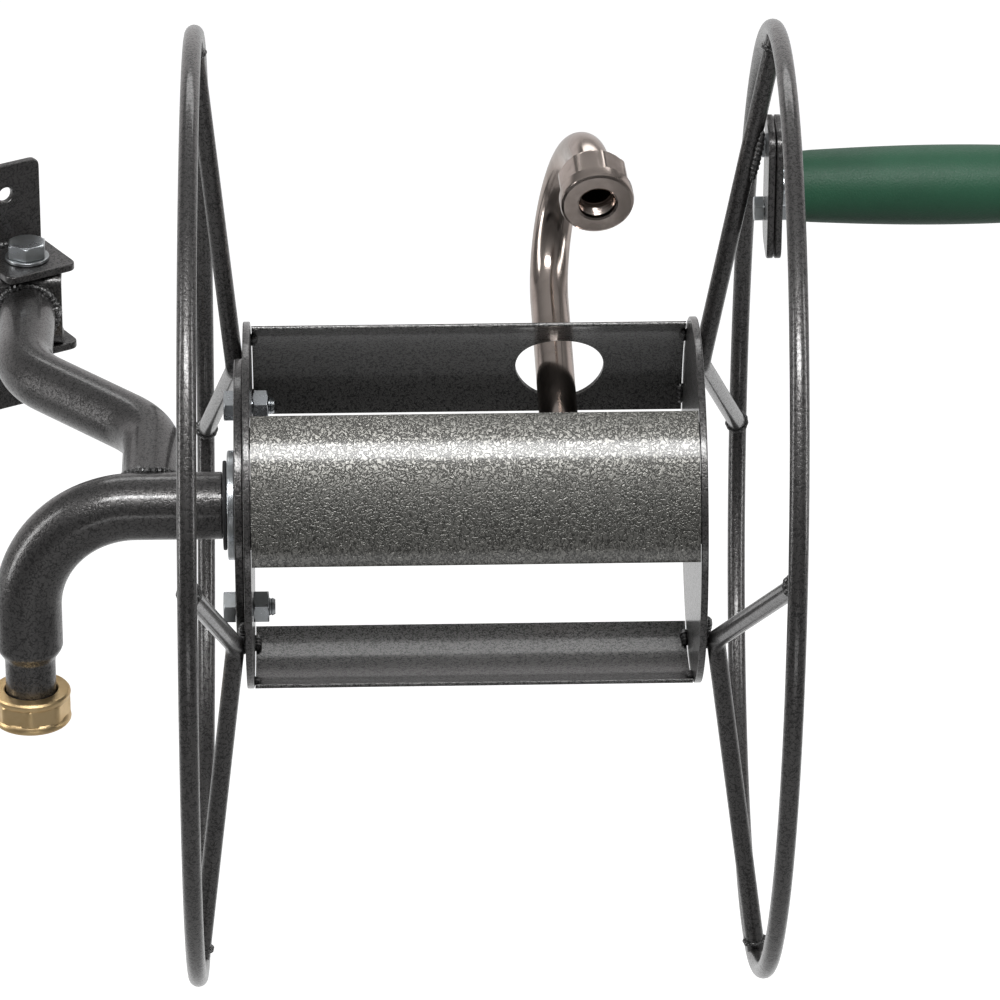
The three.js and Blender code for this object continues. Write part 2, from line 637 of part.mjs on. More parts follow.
function handleBolt(along) {
  const { plateLeft } = handleFrame();
  const stack = 2 * HANDLE_PLATE_THICKNESS + 3 * GAP + HANDLE_BOLT_NUT + HANDLE_BOLT_TAIL;
  const body = join(prism(6, HANDLE_BOLT_HEX, -HANDLE_BOLT_HEAD, 0), rod(HANDLE_BOLT / 2, -OVERLAP, stack));
  return placeHandle(body.translate(along, -HANDLE_BOLT_SIDE, 0), plateLeft - GAP);
}

function handleNut(along) {
  const { plateLeft } = handleFrame();
  const bore = rod(HANDLE_BOLT / 2 + GAP, -THROUGH, HANDLE_BOLT_NUT + THROUGH);
  const body = cut(prism(6, HANDLE_BOLT_HEX, 0, HANDLE_BOLT_NUT), bore);
  body.translate(along, -HANDLE_BOLT_SIDE, 0);
  return placeHandle(body, plateLeft + 2 * HANDLE_PLATE_THICKNESS + 2 * GAP);
}

// The stud's collar is welded to the outer plate. Its head holds the grip on from inside the counterbore.
function gripStud() {
  const head = STUD_COLLAR_LENGTH + 2 * TURN_GAP + GRIP_LENGTH - GRIP_COUNTERBORE_DEPTH;
  const body = join(
    rod(STUD_COLLAR / 2, 0, STUD_COLLAR_LENGTH, TUBE_SIDES),
    rod(STUD / 2, OVERLAP, head + OVERLAP),
    prism(6, STUD_HEAD, head, head + STUD_HEAD_LENGTH),
  );
  return placeHandle(body, gripRoot());
}

function gripRoot() {
  return handleFrame().plateLeft + 2 * HANDLE_PLATE_THICKNESS + 2 * GAP;
}

function grip() {
  const steps = 8;
  const swell = (GRIP_MIDDLE - GRIP_ENDS) / 2;
  const outline = [[GRIP_BORE / 2, 0], [GRIP_ENDS / 2 - GRIP_EDGE, 0]];
  for (let step = 0; step <= steps; step += 1) {
    const along = GRIP_EDGE + ((GRIP_LENGTH - 2 * GRIP_EDGE) * step) / steps;
    outline.push([GRIP_ENDS / 2 + swell * Math.sin((Math.PI * along) / GRIP_LENGTH), along]);
  }
  outline.push([GRIP_ENDS / 2 - GRIP_EDGE, GRIP_LENGTH], [GRIP_COUNTERBORE / 2, GRIP_LENGTH]);
  outline.push([GRIP_COUNTERBORE / 2, GRIP_LENGTH - GRIP_COUNTERBORE_DEPTH]);
  outline.push([GRIP_BORE / 2, GRIP_LENGTH - GRIP_COUNTERBORE_DEPTH], [GRIP_BORE / 2, 0]);
  return placeHandle(turned(outline), gripRoot() + STUD_COLLAR_LENGTH + TURN_GAP);
}

function gripBushing() {
  const outer = GRIP_BORE - 2 * GAP;
  const length = GRIP_LENGTH - GRIP_COUNTERBORE_DEPTH - GAP;
  const body = washer(outer, STUD + 2 * GAP, 0, length, BOLT_SIDES);
  return placeHandle(body, gripRoot() + STUD_COLLAR_LENGTH + TURN_GAP);
}

// ---- Assembly
function reel() {
  const group = new THREE.Group();
  const leftHoles = [axleHole(LEFT_DISC_OUTER, DRUM_LEFT), ...plateBoltHoles(LEFT_DISC_OUTER, DRUM_LEFT)];
  const bearingEnds = [BEARING_LEFT, BEARING_RIGHT];
  const bearingHoles = [axleHole(...bearingEnds), ...plateBoltHoles(...bearingEnds)];
  const bearing = disc(BEARING_PLATE, ...bearingEnds, bearingHoles);
  const flange = washer(FLANGE, HUB_TUBE + 2 * GAP, FLANGE_LEFT, FLANGE_RIGHT);
  group.add(named('hub_tube', hubTube(), HAMMERED));
  group.add(named('bearing_flange', alongAxle(flange), ZINC));
  group.add(named('bearing_plate', bearing, HAMMERED));
  group.add(named('left_disc', disc(DISC, LEFT_DISC_OUTER, DRUM_LEFT, leftHoles), HAMMERED));
  group.add(named('right_disc', disc(DISC, RIGHT_DISC_INNER, RIGHT_DISC_OUTER, []), HAMMERED));
  group.add(named('slat_back', slatWithHole(SLAT_ANGLES.slat_back), HAMMERED));
  group.add(named('slat_front', slat(SLAT_ANGLES.slat_front), HAMMERED));
  group.add(named('slat_low', slat(SLAT_ANGLES.slat_low), HAMMERED));
  group.add(named('left_rim', rim('left'), HAMMERED));
  group.add(named('right_rim', rim('right'), HAMMERED));
  for (const [place, angle] of Object.entries(SPOKE_ANGLES)) {
    group.add(named(`left_spokes_${place}`, spokePair('left', angle), HAMMERED));
    group.add(named(`right_spokes_${place}`, spokePair('right', angle), HAMMERED));
    group.add(named(`plate_bolt_${place}`, plateBolt(angle), ZINC));
    group.add(named(`plate_nut_${place}`, plateNut(angle), ZINC));
  }
  group.add(named('gooseneck', gooseneck(), NICKEL));
  group.add(named('outlet_fitting', outletFitting(), NICKEL));
  group.add(handle());
  return group;
}

function handle() {
  const group = new THREE.Group();
  const { plateLeft } = handleFrame();
  group.add(named('handle_plate_inner', handlePlate(plateLeft), HAMMERED));
  group.add(named('handle_plate_outer', handlePlate(plateLeft + HANDLE_PLATE_THICKNESS + GAP), HAMMERED));
  for (const [place, along] of Object.entries(HANDLE_BOLT_PLACES)) {
    group.add(named(`handle_bolt_${place}`, handleBolt(along), ZINC));
    group.add(named(`handle_nut_${place}`, handleNut(along), ZINC));
  }
  group.add(named('grip_stud', gripStud(), ZINC));
  group.add(named('grip_bushing', gripBushing(), BLACK_RUBBER));
  group.add(named('grip', grip(), GREEN_PLASTIC));
  return group;
}

function arm() {
  const group = new THREE.Group();
  const axle = vector(0, -AXLE_REACH, 0);
  const seal = alongAxle(washer(SEAL, HUB_TUBE + 2 * TURN_GAP, SEAL_LEFT, SEAL_RIGHT));
  group.add(named('swivel_knuckle', knuckle(), HAMMERED));
  group.add(named('support_arm', supportArm(), HAMMERED));
  group.add(named('inlet_pipe', inletPipe(), HAMMERED, axle));
  group.add(named('inlet_nut', inletNut(), BRASS, axle));
  group.add(named('inlet_gasket', gasket(), BLACK_RUBBER, axle));
  group.add(named('axle_sleeve', axleSleeve(), BRASS, axle));
  group.add(named('axle_seal', seal, BLACK_RUBBER, axle));
  const turning = reel();
  turning.position.copy(axle);
  turning.rotation.x = REEL_TURN;
  group.add(turning);
  return group;
}

const group = new THREE.Group();
group.add(wallBracket());
const swinging = arm();
swinging.position.set(0, PIVOT_Y, 0);
swinging.rotation.z = ARM_SWING;
group.add(swinging);

export default group;
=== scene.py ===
"""Looks for a wall-mounted swivel hose reel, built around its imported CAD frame.

Shapes are written in millimetres, in the frame of the group that holds them: the wall bracket, the arm
(origin on the pivot, X along the axle) or the reel (origin on the axle, turned to its rest angle).
Angles are in degrees where a comment doesn't say otherwise.
"""

import json
import math

import bmesh
import bpy
from mathutils import Matrix, Vector, noise
from mathutils.geometry import tessellate_polygon


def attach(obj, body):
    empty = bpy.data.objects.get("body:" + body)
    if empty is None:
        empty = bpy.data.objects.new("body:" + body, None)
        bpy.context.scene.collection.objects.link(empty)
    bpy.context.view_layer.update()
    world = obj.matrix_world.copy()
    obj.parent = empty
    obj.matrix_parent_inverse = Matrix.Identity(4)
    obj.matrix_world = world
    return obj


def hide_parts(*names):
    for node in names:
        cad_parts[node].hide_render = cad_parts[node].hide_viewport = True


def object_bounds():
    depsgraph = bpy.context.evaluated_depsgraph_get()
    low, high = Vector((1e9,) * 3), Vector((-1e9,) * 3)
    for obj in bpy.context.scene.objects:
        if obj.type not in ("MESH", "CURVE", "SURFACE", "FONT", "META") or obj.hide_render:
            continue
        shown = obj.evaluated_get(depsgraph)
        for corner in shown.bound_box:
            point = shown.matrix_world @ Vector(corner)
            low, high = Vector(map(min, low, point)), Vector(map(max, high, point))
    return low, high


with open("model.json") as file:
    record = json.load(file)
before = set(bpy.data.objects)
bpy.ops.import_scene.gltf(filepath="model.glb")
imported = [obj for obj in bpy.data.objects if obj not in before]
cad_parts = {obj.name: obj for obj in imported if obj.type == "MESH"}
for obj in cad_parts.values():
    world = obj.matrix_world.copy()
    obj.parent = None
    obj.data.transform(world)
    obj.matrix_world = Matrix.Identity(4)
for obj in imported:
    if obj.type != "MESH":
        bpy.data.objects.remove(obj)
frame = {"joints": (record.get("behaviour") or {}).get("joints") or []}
CAD_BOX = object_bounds()

MM = 0.001
X, Z = Vector((1, 0, 0)), Vector((0, 0, 1))
TAU = 2 * math.pi

# ---- Sizes, in millimetres, as in the CAD
GAP, TURN_GAP = 0.3, 0.6
REEL_TURN = -26
AXLE_REACH = 213
STRIP, STRIP_WIDTH = 3.5, 34.5
WALL_PLATE_HEIGHT, WALL_PLATE_CORNER = 120, 4
SCREW_HOLE, SCREW_HOLE_INSET = 7, 14.5
EAR_REACH, EAR_CORNER, EAR_INNER = 34, 5, 17.5
PIVOT_REACH = 18.5
PIVOT_Y = -(STRIP + PIVOT_REACH)
PIVOT_BOLT, PIVOT_HOLE, PIVOT_HEX, PIVOT_HEAD = 9.5, 10.3, 16, 6.4
PIVOT_NUT, PIVOT_TAIL, WASHER, WASHER_THICKNESS = 8, 4, 20, 1.6
KNUCKLE_WIDTH, KNUCKLE_FRONT, KNUCKLE_BACK = 31, 12, 9
ARM_TUBE, ARM_WALL, ARM_BEND = 25.4, 2, 46
ARM_FIRST_RUN, ARM_SIDE_STEP, ARM_SECOND_CORNER = 76, 59, 142
PIPE, PIPE_WALL, PIPE_BEND, PIPE_END, DROP_X = 28.6, 2, 46.6, 89.7, 6.2
TAPER_TOP, TAPER_LENGTH = -64.5, 6.6
NECK, NECK_BORE, NECK_LENGTH, FLARE, FLARE_HEIGHT = 21.6, 16, 20.4, 25, 2
NECK_BOTTOM = TAPER_TOP - TAPER_LENGTH - NECK_LENGTH
NUT_HEIGHT, NUT_RIM, NUT_RIM_HEIGHT, NUT_FLATS, NUT_TOP_WALL, NUT_BORE = 15, 33.8, 3.6, 31.2, 3, 26.4
NUT_TOP = NECK_BOTTOM + FLARE_HEIGHT + TURN_GAP + NUT_TOP_WALL
GASKET_THICKNESS, SLEEVE_LENGTH = 2.4, 24
DISC, DISC_THICKNESS, DRUM_LEFT, DRUM_LENGTH = 155.4, 3, 102.4, 186
DISC_LEFT, DRUM_RIGHT = DRUM_LEFT - DISC_THICKNESS, DRUM_LEFT + DRUM_LENGTH
SEAL, SEAL_LEFT, SEAL_RIGHT = 38, PIPE_END + GAP, PIPE_END + GAP + 1.6
FLANGE, FLANGE_LEFT, FLANGE_RIGHT = 46.5, SEAL_RIGHT + GAP, SEAL_RIGHT + GAP + 3.3
BEARING, BEARING_LEFT, BEARING_RIGHT = 124, FLANGE_RIGHT + GAP, DISC_LEFT - GAP
HUB, HUB_WALL, HUB_LEFT = 21.3, 2.6, PIPE_END - 32
SLAT_THICKNESS, SLAT_ARC = 1.8, 48
SLATS = {"slat_back": 55, "slat_front": 175.6, "slat_low": 292.6}
ROD, RIM_RADIUS = 7.94, 199.23
RIM_X = {"left": DISC_LEFT - 20.4, "right": DRUM_RIGHT + DISC_THICKNESS + 28.7}
RIM_LEAN = {"left": math.radians(0.46), "right": math.radians(1.28)}
FOOT_X = {"left": DISC_LEFT - ROD / 2 - GAP, "right": DRUM_RIGHT + DISC_THICKNESS + ROD / 2 + GAP}
FOOT_RADIUS, SPOKE_BEND, SPOKE_REACH = 71.5, 9, 193.56
SPOKE_ANGLES, SPOKE_SPREAD = {"upper": 55, "lower": 235}, 45
PLATE_BOLT, PLATE_BOLT_HEX, PLATE_BOLT_CIRCLE = 7.6, 12.7, 52
PLATE_HEAD, PLATE_NUT, PLATE_TAIL = 5, 6.6, 2.6
NECK_TUBE, NECK_TUBE_WALL, NECK_X = 16.7, 1.6, 234.9
NECK_ANGLE, NECK_YAW, NECK_LEAN = 52, 12.5, 1.7
NECK_RUN, NECK_BEND, NECK_TURN, NECK_TAIL, SOCKET = 109.5, 40, 170, 2.5, 10
OUTLET_LENGTH, OUTLET_FLATS, OUTLET_RIM, OUTLET_BORE = 19, 28.8, 31.6, 15.6
SLAT_HOLE, SLAT_HOLE_ANGLE = 38, 50.5
HANDLE_RADIUS, PLATE_LENGTH, PLATE_WIDTH, PLATE_THICKNESS = 132.4, 60, 30, 3
HANDLE_BOLT, HANDLE_BOLT_HEX, BOLT_ALONG, BOLT_SIDE = 5.6, 10, 15, 9
HANDLE_HEAD, HANDLE_NUT, HANDLE_TAIL, HANDLE_HOLE = 4, 5, 2, 6.4
STUD, COLLAR, COLLAR_LENGTH, STUD_HEX, STUD_HEAD = 9.5, 17, 4.5, 15, 5
GRIP_LENGTH, GRIP_MIDDLE, GRIP_ENDS, GRIP_BORE = 127, 34, 30, 12.4
GRIP_EDGE, COUNTERBORE, COUNTERBORE_DEPTH = 4, 20, 9


# ---- Group frames
def from_joint(name):
    joint = next(j for j in frame["joints"] if j["name"] == name)
    return Vector(joint["pos_m"]), Vector(joint["axis"]).normalized()


def group_frame(origin, along, turn=0):
    basis = Matrix((along, Z.cross(along), Z)).transposed().to_4x4()
    return Matrix.Translation(origin) @ basis @ Matrix.Rotation(math.radians(turn), 4, "X")


SCALE = Matrix.Scale(MM, 4)
WALL = SCALE.copy()
PIVOT, _ = from_joint("arm_swing")
_, AXLE = from_joint("reel_spin")
ARM_FRAME = group_frame(PIVOT, AXLE)
REEL_FRAME = group_frame(ARM_FRAME @ Vector((0, -AXLE_REACH * MM, 0)), AXLE, REEL_TURN)
ARM, REEL = ARM_FRAME @ SCALE, REEL_FRAME @ SCALE
FLIP = Matrix.Rotation(math.pi, 4, "Y")
# Turns a shape made along Z so that it lies along the axle, with its own X along Y and its own Y along Z.
ALONG_AXLE = Matrix(((0, 0, 1, 0), (1, 0, 0, 0), (0, 1, 0, 0), (0, 0, 0, 1)))


def at(x, y, z):
    return Matrix.Translation((x, y, z))


def around_axle(x, radius, angle):
    a = math.radians(angle)
    return Vector((x, radius * math.cos(a), radius * math.sin(a)))


# ---- Meshes: every shape is a list of points and a list of faces
def moved(shape, matrix):
    points, faces = shape
    return [matrix @ Vector(p) for p in points], faces


def together(*shapes):
    points, faces = [], []
    for more_points, more_faces in shapes:
        start = len(points)
        points += more_points
        faces += [tuple(i + start for i in f) for f in more_faces]
    return points, faces


def level(radius, height, sides=96):
    """A ring of points round Z."""
    angles = [TAU * i / sides for i in range(sides)]
    return [Vector((radius * math.cos(a), radius * math.sin(a), height)) for a in angles]


def flatted(flats, width, limit, height, sides):
    """A ring of points on a regular prism, width across its flats, with its corners cut off at a radius."""
    points = []
    for i in range(sides):
        angle = TAU * i / sides
        off = (angle % (TAU / flats)) - math.pi / flats
        radius = min(width / 2 / math.cos(off), limit)
        points.append(Vector((radius * math.cos(angle), radius * math.sin(angle), height)))
    return points


def coupling_loop(width):
    """Makes the rings of a coupling, which is round but for the eight flats of its waist."""
    def loop(radius, height, facet=False):
        return flatted(8, width, radius, height, 96) if facet else level(radius, height)
    return loop


def skin(rings, closed=False):
    """Quads between rings of equal length. A closed skin joins its last ring to its first."""
    n, points = len(rings[0]), [p for ring in rings for p in ring]
    faces = []
    for r in range(len(rings) if closed else len(rings) - 1):
        a, b = r * n, (r + 1) % len(rings) * n
        faces += [(a + i, a + (i + 1) % n, b + (i + 1) % n, b + i) for i in range(n)]
    if not closed:
        last = (len(rings) - 1) * n
        faces += [tuple(reversed(range(n))), tuple(range(last, last + n))]
    return points, faces


def fillet(points, radius, closed=False, steps=4):
    """Rounds a 2-D outline's corners, each by no more than its neighbours leave room for."""
    points = [Vector(p) for p in points]
    rounded = []
    for i, p in enumerate(points):
        if not closed and i in (0, len(points) - 1):
            rounded.append(p)
            continue
        before, after = points[i - 1] - p, points[(i + 1) % len(points)] - p
        angle = before.angle(after)
        if angle > math.radians(172):
            rounded.append(p)
            continue
        reach = min(radius / math.tan(angle / 2), 0.48 * before.length, 0.48 * after.length)
        start, end = p + before.normalized() * reach, p + after.normalized() * reach
        for s in range(steps + 1):
            t = s / steps
            rounded.append(start * (1 - t) ** 2 + p * 2 * t * (1 - t) + end * t * t)
    return rounded


def turned(profile, sides=96, edge=0.5, closed=True):
    """A (radius, height) profile turned about Z. A closed one is a ring, an open one is solid."""
    outline = fillet(profile, edge, closed) if edge else [Vector(p) for p in profile]
    if not closed:
        outline = outline[1:-1]
    return skin([level(r, h, sides) for r, h in outline], closed)


def ring(outer, bore, low, high, edge=0.4, sides=96):
    return turned([(bore / 2, low), (outer / 2, low), (outer / 2, high), (bore / 2, high)], sides, edge)


def faceted(flats, width, levels, per_side=8, bore=0):
    """A chamfered nut or bolt head. levels are (corner radius over half the width, height)."""
    sides = flats * per_side
    rings = [flatted(flats, width, width / 2 * keep, height, sides) for keep, height in levels]
    if bore:
        rings += [level(bore / 2, height, sides) for height in (levels[-1][1], levels[0][1])]
    return skin(rings, closed=bool(bore))


def hex_levels(low, high, both=False):
    """The usual 30 degree chamfer at a hexagon's top, and at its bottom on a nut."""
    corner = 1 / math.cos(math.pi / 6)
    steps = [0.965, 1.0, 1.04, 1.08, 1.12, corner + 0.01]
    drop = [(k - 0.965) * 0.34 for k in steps]
    size = (high - low) / 0.6
    top = [(k, high - d * size) for k, d in zip(reversed(steps), reversed(drop))]
    bottom = [(k, low + d * size) for k, d in zip(steps, drop)] if both else [(corner + 0.01, low)]
    return bottom + top


def threaded(diameter, low, high, pitch=1.1):
    """A shank whose end shows its thread's ridges."""
    r, depth = diameter / 2, 0.36
    profile, height = [(0, low), (r - depth, low)], low
    while height + pitch < high - 0.5:
        profile += [(r - depth, height + 0.1), (r, height + pitch / 2)]
        height += pitch
    profile += [(r - depth, height + 0.2), (r - depth - 0.3, high), (0, high)]
    return turned(profile, 36, 0, closed=False)


def bolt(hexagon, head, shank, length):
    """A hexagon bolt along Z: its head is above 0, its half threaded shank runs down to -length."""
    r, half = shank / 2, 0.5 * length
    plain = turned([(0, -0.3), (r, -0.3), (r, half), (0, half)], 36, 0, closed=False)
    shaft = together(plain, threaded(shank - 0.1, half - 0.1, length))
    return together(faceted(6, hexagon, hex_levels(0, head)), moved(shaft, Matrix.Rotation(math.pi, 4, "X")))


def nut(hexagon, height, bore):
    return faceted(6, hexagon, hex_levels(0, height, both=True), bore=bore)


def circle(x, y, radius, sides=48):
    return [Vector((x + radius * math.cos(TAU * i / sides), y + radius * math.sin(TAU * i / sides)))
            for i in range(sides)]


def slab(outline, thickness, holes=(), edge=0.5, steps=3):
    """A flat plate on z = 0 with rounded edges. Its outline runs counter-clockwise."""
    loops = [list(outline)] + [list(reversed(h)) for h in holes]
    stack = []
    for loop in loops:
        n = len(loop)
        normals = []
        for i, p in enumerate(loop):
            d1, d2 = (p - loop[i - 1]).normalized(), (loop[(i + 1) % n] - p).normalized()
            d = (d1 + d2).normalized()
            normals.append(Vector((d.y, -d.x)) / max(0.5, d.dot(d1)))
        rings = []
        quarter = [math.pi / 2 * s / steps for s in range(steps + 1)]
        levels = [(edge * (1 - math.sin(a)), edge * (1 - math.cos(a))) for a in quarter]
        levels += [(inset, thickness - rise) for inset, rise in reversed(levels)]
        for inset, height in levels:
            rings.append([Vector((*(p - m * inset), height)) for p, m in zip(loop, normals)])
        stack.append(rings)
    points, faces, tops, bottoms = [], [], [], []
    for rings in stack:
        start, n = len(points), len(rings[0])
        points += [p for r in rings for p in r]
        for r in range(len(rings) - 1):
            a, b = start + r * n, start + (r + 1) * n
            faces += [(a + i, a + (i + 1) % n, b + (i + 1) % n, b + i) for i in range(n)]
        bottoms += range(start, start + n)
        tops += range(start + (len(rings) - 1) * n, start + len(rings) * n)
    flat = tessellate_polygon([[Vector((p.x, p.y, 0)) for p in rings[-1]] for rings in stack])
    faces += [tuple(tops[i] for i in tri) for tri in flat]
    faces += [tuple(bottoms[i] for i in reversed(tri)) for tri in flat]
    return points, faces


def rounded_rectangle(width, height, corner):
    w, h = width / 2, height / 2
    return fillet([(-w, -h), (w, -h), (w, h), (-w, h)], corner, closed=True, steps=8)


# ---- Bent rods and tubes
def bent(corners, radius, step=4.0, spacing=6.0):
    """Stations (point, direction) along straight runs joined by arcs."""
    corners = [Vector(c) for c in corners]
    stations = [(corners[0], (corners[1] - corners[0]).normalized())]

    def run_to(point, direction):
        last = stations[-1][0]
        count = max(1, round((point - last).length / spacing))
        for s in range(1, count + 1):
            stations.append((last.lerp(point, s / count), direction))

    for i in range(1, len(corners) - 1):
        into, out = (corners[i] - corners[i - 1]).normalized(), (corners[i + 1] - corners[i]).normalized()
        turn = into.angle(out)
        start = corners[i] - into * radius * math.tan(turn / 2)
        axis = into.cross(out).normalized()
        inward = axis.cross(into)
        centre = start + inward * radius
        run_to(start, into)
        count = math.ceil(turn / math.radians(step))
        for s in range(1, count + 1):
            spin = Matrix.Rotation(turn * s / count, 3, axis)
            stations.append((centre - spin @ inward * radius, spin @ into))
    run_to(corners[-1], (corners[-1] - corners[-2]).normalized())
    return stations


def sweep(stations, outer, inner=None, sides=32, end_edge=0.4):
    """A round rod or tube along stations. A diameter can be a function of the station's index."""
    size = outer if callable(outer) else lambda i: outer
    bore = inner if callable(inner) else lambda i: inner
    side = stations[0][1].orthogonal().normalized()
    frames = []
    for _, direction in stations:
        side = (side - direction * side.dot(direction)).normalized()
        frames.append((side, direction.cross(side)))

    def loop(i, diameter, shift=0.0):
        (p, direction), (u, v) = stations[i], frames[i]
        r = diameter / 2
        return [p + direction * shift + u * r * math.cos(TAU * k / sides) + v * r * math.sin(TAU * k / sides)
                for k in range(sides)]

    last, e = len(stations) - 1, end_edge
    rings = [loop(0, size(0) - 2 * e), loop(0, size(0) - 0.6 * e, 0.3 * e), loop(0, size(0), e)]
    rings += [loop(i, size(i)) for i in range(1, last)]
    rings += [loop(last, size(last), -e), loop(last, size(last) - 0.6 * e, -0.3 * e)]
    rings.append(loop(last, size(last) - 2 * e))
    if inner is None:
        return skin(rings)
    rings += [loop(i, bore(i)) for i in range(last, -1, -1)]
    return skin(rings, closed=True)


def bead(path, radius, seed, closed=False, pitch=2.3, sides=10):
    """A weld bead along a line of points: a lumpy round cord with the ripples of its puddles."""
    path = [Vector(p) for p in path]
    length = sum((b - a).length for a, b in zip(path, path[1:] + (path[:1] if closed else [])))
    count = max(8, round(length / 0.55))
    spans = list(zip(path, path[1:] + path[:1])) if closed else list(zip(path, path[1:]))
    marks, travelled = [], 0.0
    for k in range(count if closed else count + 1):
        target, walked = length * k / count, 0.0
        for a, b in spans:
            step = (b - a).length
            if walked + step >= target - 1e-9:
                marks.append((a.lerp(b, (target - walked) / max(step, 1e-9)), target))
                break
            walked += step
    rings, side = [], None
    for i, (p, s) in enumerate(marks):
        before = marks[i - 1][0] if closed or i else p
        after = marks[(i + 1) % len(marks)][0] if closed or i < len(marks) - 1 else p
        direction = (after - before).normalized()
        side = direction.orthogonal() if side is None else side - direction * side.dot(direction)
        side.normalize()
        up = direction.cross(side)
        ripple = 1 + 0.13 * math.cos(TAU * s / pitch) + 0.28 * noise.noise(Vector((s * 0.21, seed * 3.1, 0)))
        if not closed:
            ripple *= max(0.22, math.sqrt(max(0.0, 1 - abs(2 * s / length - 1) ** 4)))
        turns = [TAU * k / sides for k in range(sides)]
        rings.append([p + (side * math.cos(t) + up * math.sin(t)) * radius * ripple for t in turns])
    return skin(rings, closed=closed)


# ---- Materials
class Tree:
    """A short way to build a node tree."""

    def __init__(self, tree):
        self.tree = tree

    def add(self, kind, settings=None, **inputs):
        """Adds a node. An input is given by its name, or as i0, i1 and so on by its place."""
        node = self.tree.nodes.new(kind)
        for key, value in (settings or {}).items():
            setattr(node, key, value)
        for key, value in inputs.items():
            by_place = key[0] == "i" and key[1:].isdigit()
            self.put(node.inputs[int(key[1:]) if by_place else key.replace("_", " ")], value)
        return node

    def put(self, socket, value):
        if isinstance(value, bpy.types.NodeSocket):
            self.tree.links.new(value, socket)
        else:
            socket.default_value = value

    def span(self, value, low, high, to_low=0.0, to_high=1.0, curve="SMOOTHSTEP"):
        """value mapped from low..high to to_low..to_high."""
        node = self.add("ShaderNodeMapRange", {"interpolation_type": curve}, Value=value)
        for key, number in (("From Min", low), ("From Max", high), ("To Min", to_low), ("To Max", to_high)):
            node.inputs[key].default_value = number
        return node.outputs["Result"]

    def math(self, operation, a, b):
        return self.add("ShaderNodeMath", {"operation": operation}, i0=a, i1=b).outputs[0]

    def vector(self, operation, output, **inputs):
        return self.add("ShaderNodeVectorMath", {"operation": operation}, **inputs).outputs[output]

    def mix(self, share, a, b):
        return self.add("ShaderNodeMix", {"data_type": "RGBA"}, i0=share, i6=a, i7=b).outputs[2]


class Nodes(Tree):
    """A material's tree, with its one Principled shader."""

    def __init__(self, name):
        self.material = bpy.data.materials.new(name)
        self.material.use_nodes = True
        super().__init__(self.material.node_tree)
        self.surface = self.tree.nodes["Principled BSDF"]
        self.where = self.add("ShaderNodeTexCoord").outputs["Object"]

    def set(self, **inputs):
        for key, value in inputs.items():
            self.put(self.surface.inputs[key.replace("_", " ")], value)

    def noise(self, scale, detail=4.0, rough=0.55, where=None, distortion=0.0):
        return self.add("ShaderNodeTexNoise", None, Vector=where or self.where, Scale=scale, Detail=detail,
                        Roughness=rough, Distortion=distortion).outputs["Fac"]

    def warped(self, scale, amount):
        """Object coordinates pushed about by noise."""
        wobble = self.add("ShaderNodeTexNoise", None, Vector=self.where, Scale=scale, Detail=3.0)
        centred = self.vector("SUBTRACT", 0, i0=wobble.outputs["Color"], i1=(0.5, 0.5, 0.5))
        return self.vector("ADD", 0, i0=self.where, i1=self.vector("SCALE", 0, i0=centred, Scale=amount))

    def bump(self, height, strength, depth):
        node = self.add("ShaderNodeBump", None, Height=height, Strength=strength, Distance=depth)
        self.set(Normal=node.outputs["Normal"])


def rgb(r, g, b):
    return (r, g, b, 1.0)


def hammered(name, dark, light, cell, relief=0.30, rough=0.34, weld=False):
    """Hammertone enamel: metal flake with fine dark worm-like veins, cell mm apart, under gloss."""
    n = Nodes(name)
    per_metre = 1000 / cell
    where = n.warped(per_metre * 0.4, 0.0016)
    field = n.noise(per_metre * 0.62, 1.5, 0.5, where=where, distortion=0.35)
    ridge = n.math("ABSOLUTE", n.math("SUBTRACT", field, 0.5), 0.0)  # 0 along a vein's middle
    fine = n.noise(per_metre * 2.6, 3.0, 0.65)
    veins = n.span(ridge, 0.008, 0.072)
    broken = n.math("MAXIMUM", veins, n.span(fine, 0.50, 0.72, 0.0, 0.8))
    drift = n.noise(11.0, 3.0)
    tone = n.math("MULTIPLY", broken, n.span(drift, 0.3, 0.7, 0.80, 1.0))
    n.set(Base_Color=n.mix(tone, dark, light), Metallic=0.80, Coat_Weight=0.6, Coat_Roughness=0.13)
    n.set(Roughness=n.span(broken, 0.0, 1.0, rough + 0.14, rough))
    height = n.math("ADD", n.span(ridge, 0.0, 0.12), n.math("MULTIPLY", fine, 0.35))
    n.bump(height, relief * (1.6 if weld else 1.0), 0.00025)
    return n.material


def plated(name, base, shade, rough, relief, cell=1.4):
    """Plated or cast bare metal with faint stains and a fine grain."""
    n = Nodes(name)
    stain = n.noise(70.0, 5.0, 0.6)
    grain = n.noise(1000 / cell, 4.0, 0.6, where=n.warped(400.0, 0.001))
    n.set(Base_Color=n.mix(n.span(stain, 0.36, 0.68), base, shade), Metallic=1.0)
    n.set(Roughness=n.span(stain, 0.3, 0.7, rough, rough + 0.10))
    n.bump(grain, relief, 0.00012)
    return n.material


def moulded(name, base, shade, rough, grain_mm, relief, sheen=0.0):
    """Moulded plastic or rubber with a fine pebbled grain."""
    n = Nodes(name)
    pebbles = n.add("ShaderNodeTexVoronoi", {"feature": "SMOOTH_F1"}, Vector=n.where, Scale=1000 / grain_mm)
    drift = n.noise(26.0, 4.0)
    fine = n.noise(1400.0, 2.0)
    n.set(Base_Color=n.mix(n.span(drift, 0.3, 0.72), base, shade), Metallic=0.0)
    n.set(Roughness=n.span(fine, 0.2, 0.8, rough - 0.06, rough + 0.08), Sheen_Weight=sheen)
    dimples = n.math("MULTIPLY", pebbles.outputs["Distance"], -0.8)
    height = n.math("ADD", dimples, n.math("MULTIPLY", fine, 0.5))
    n.bump(height, relief, 0.00022)
    return n.material


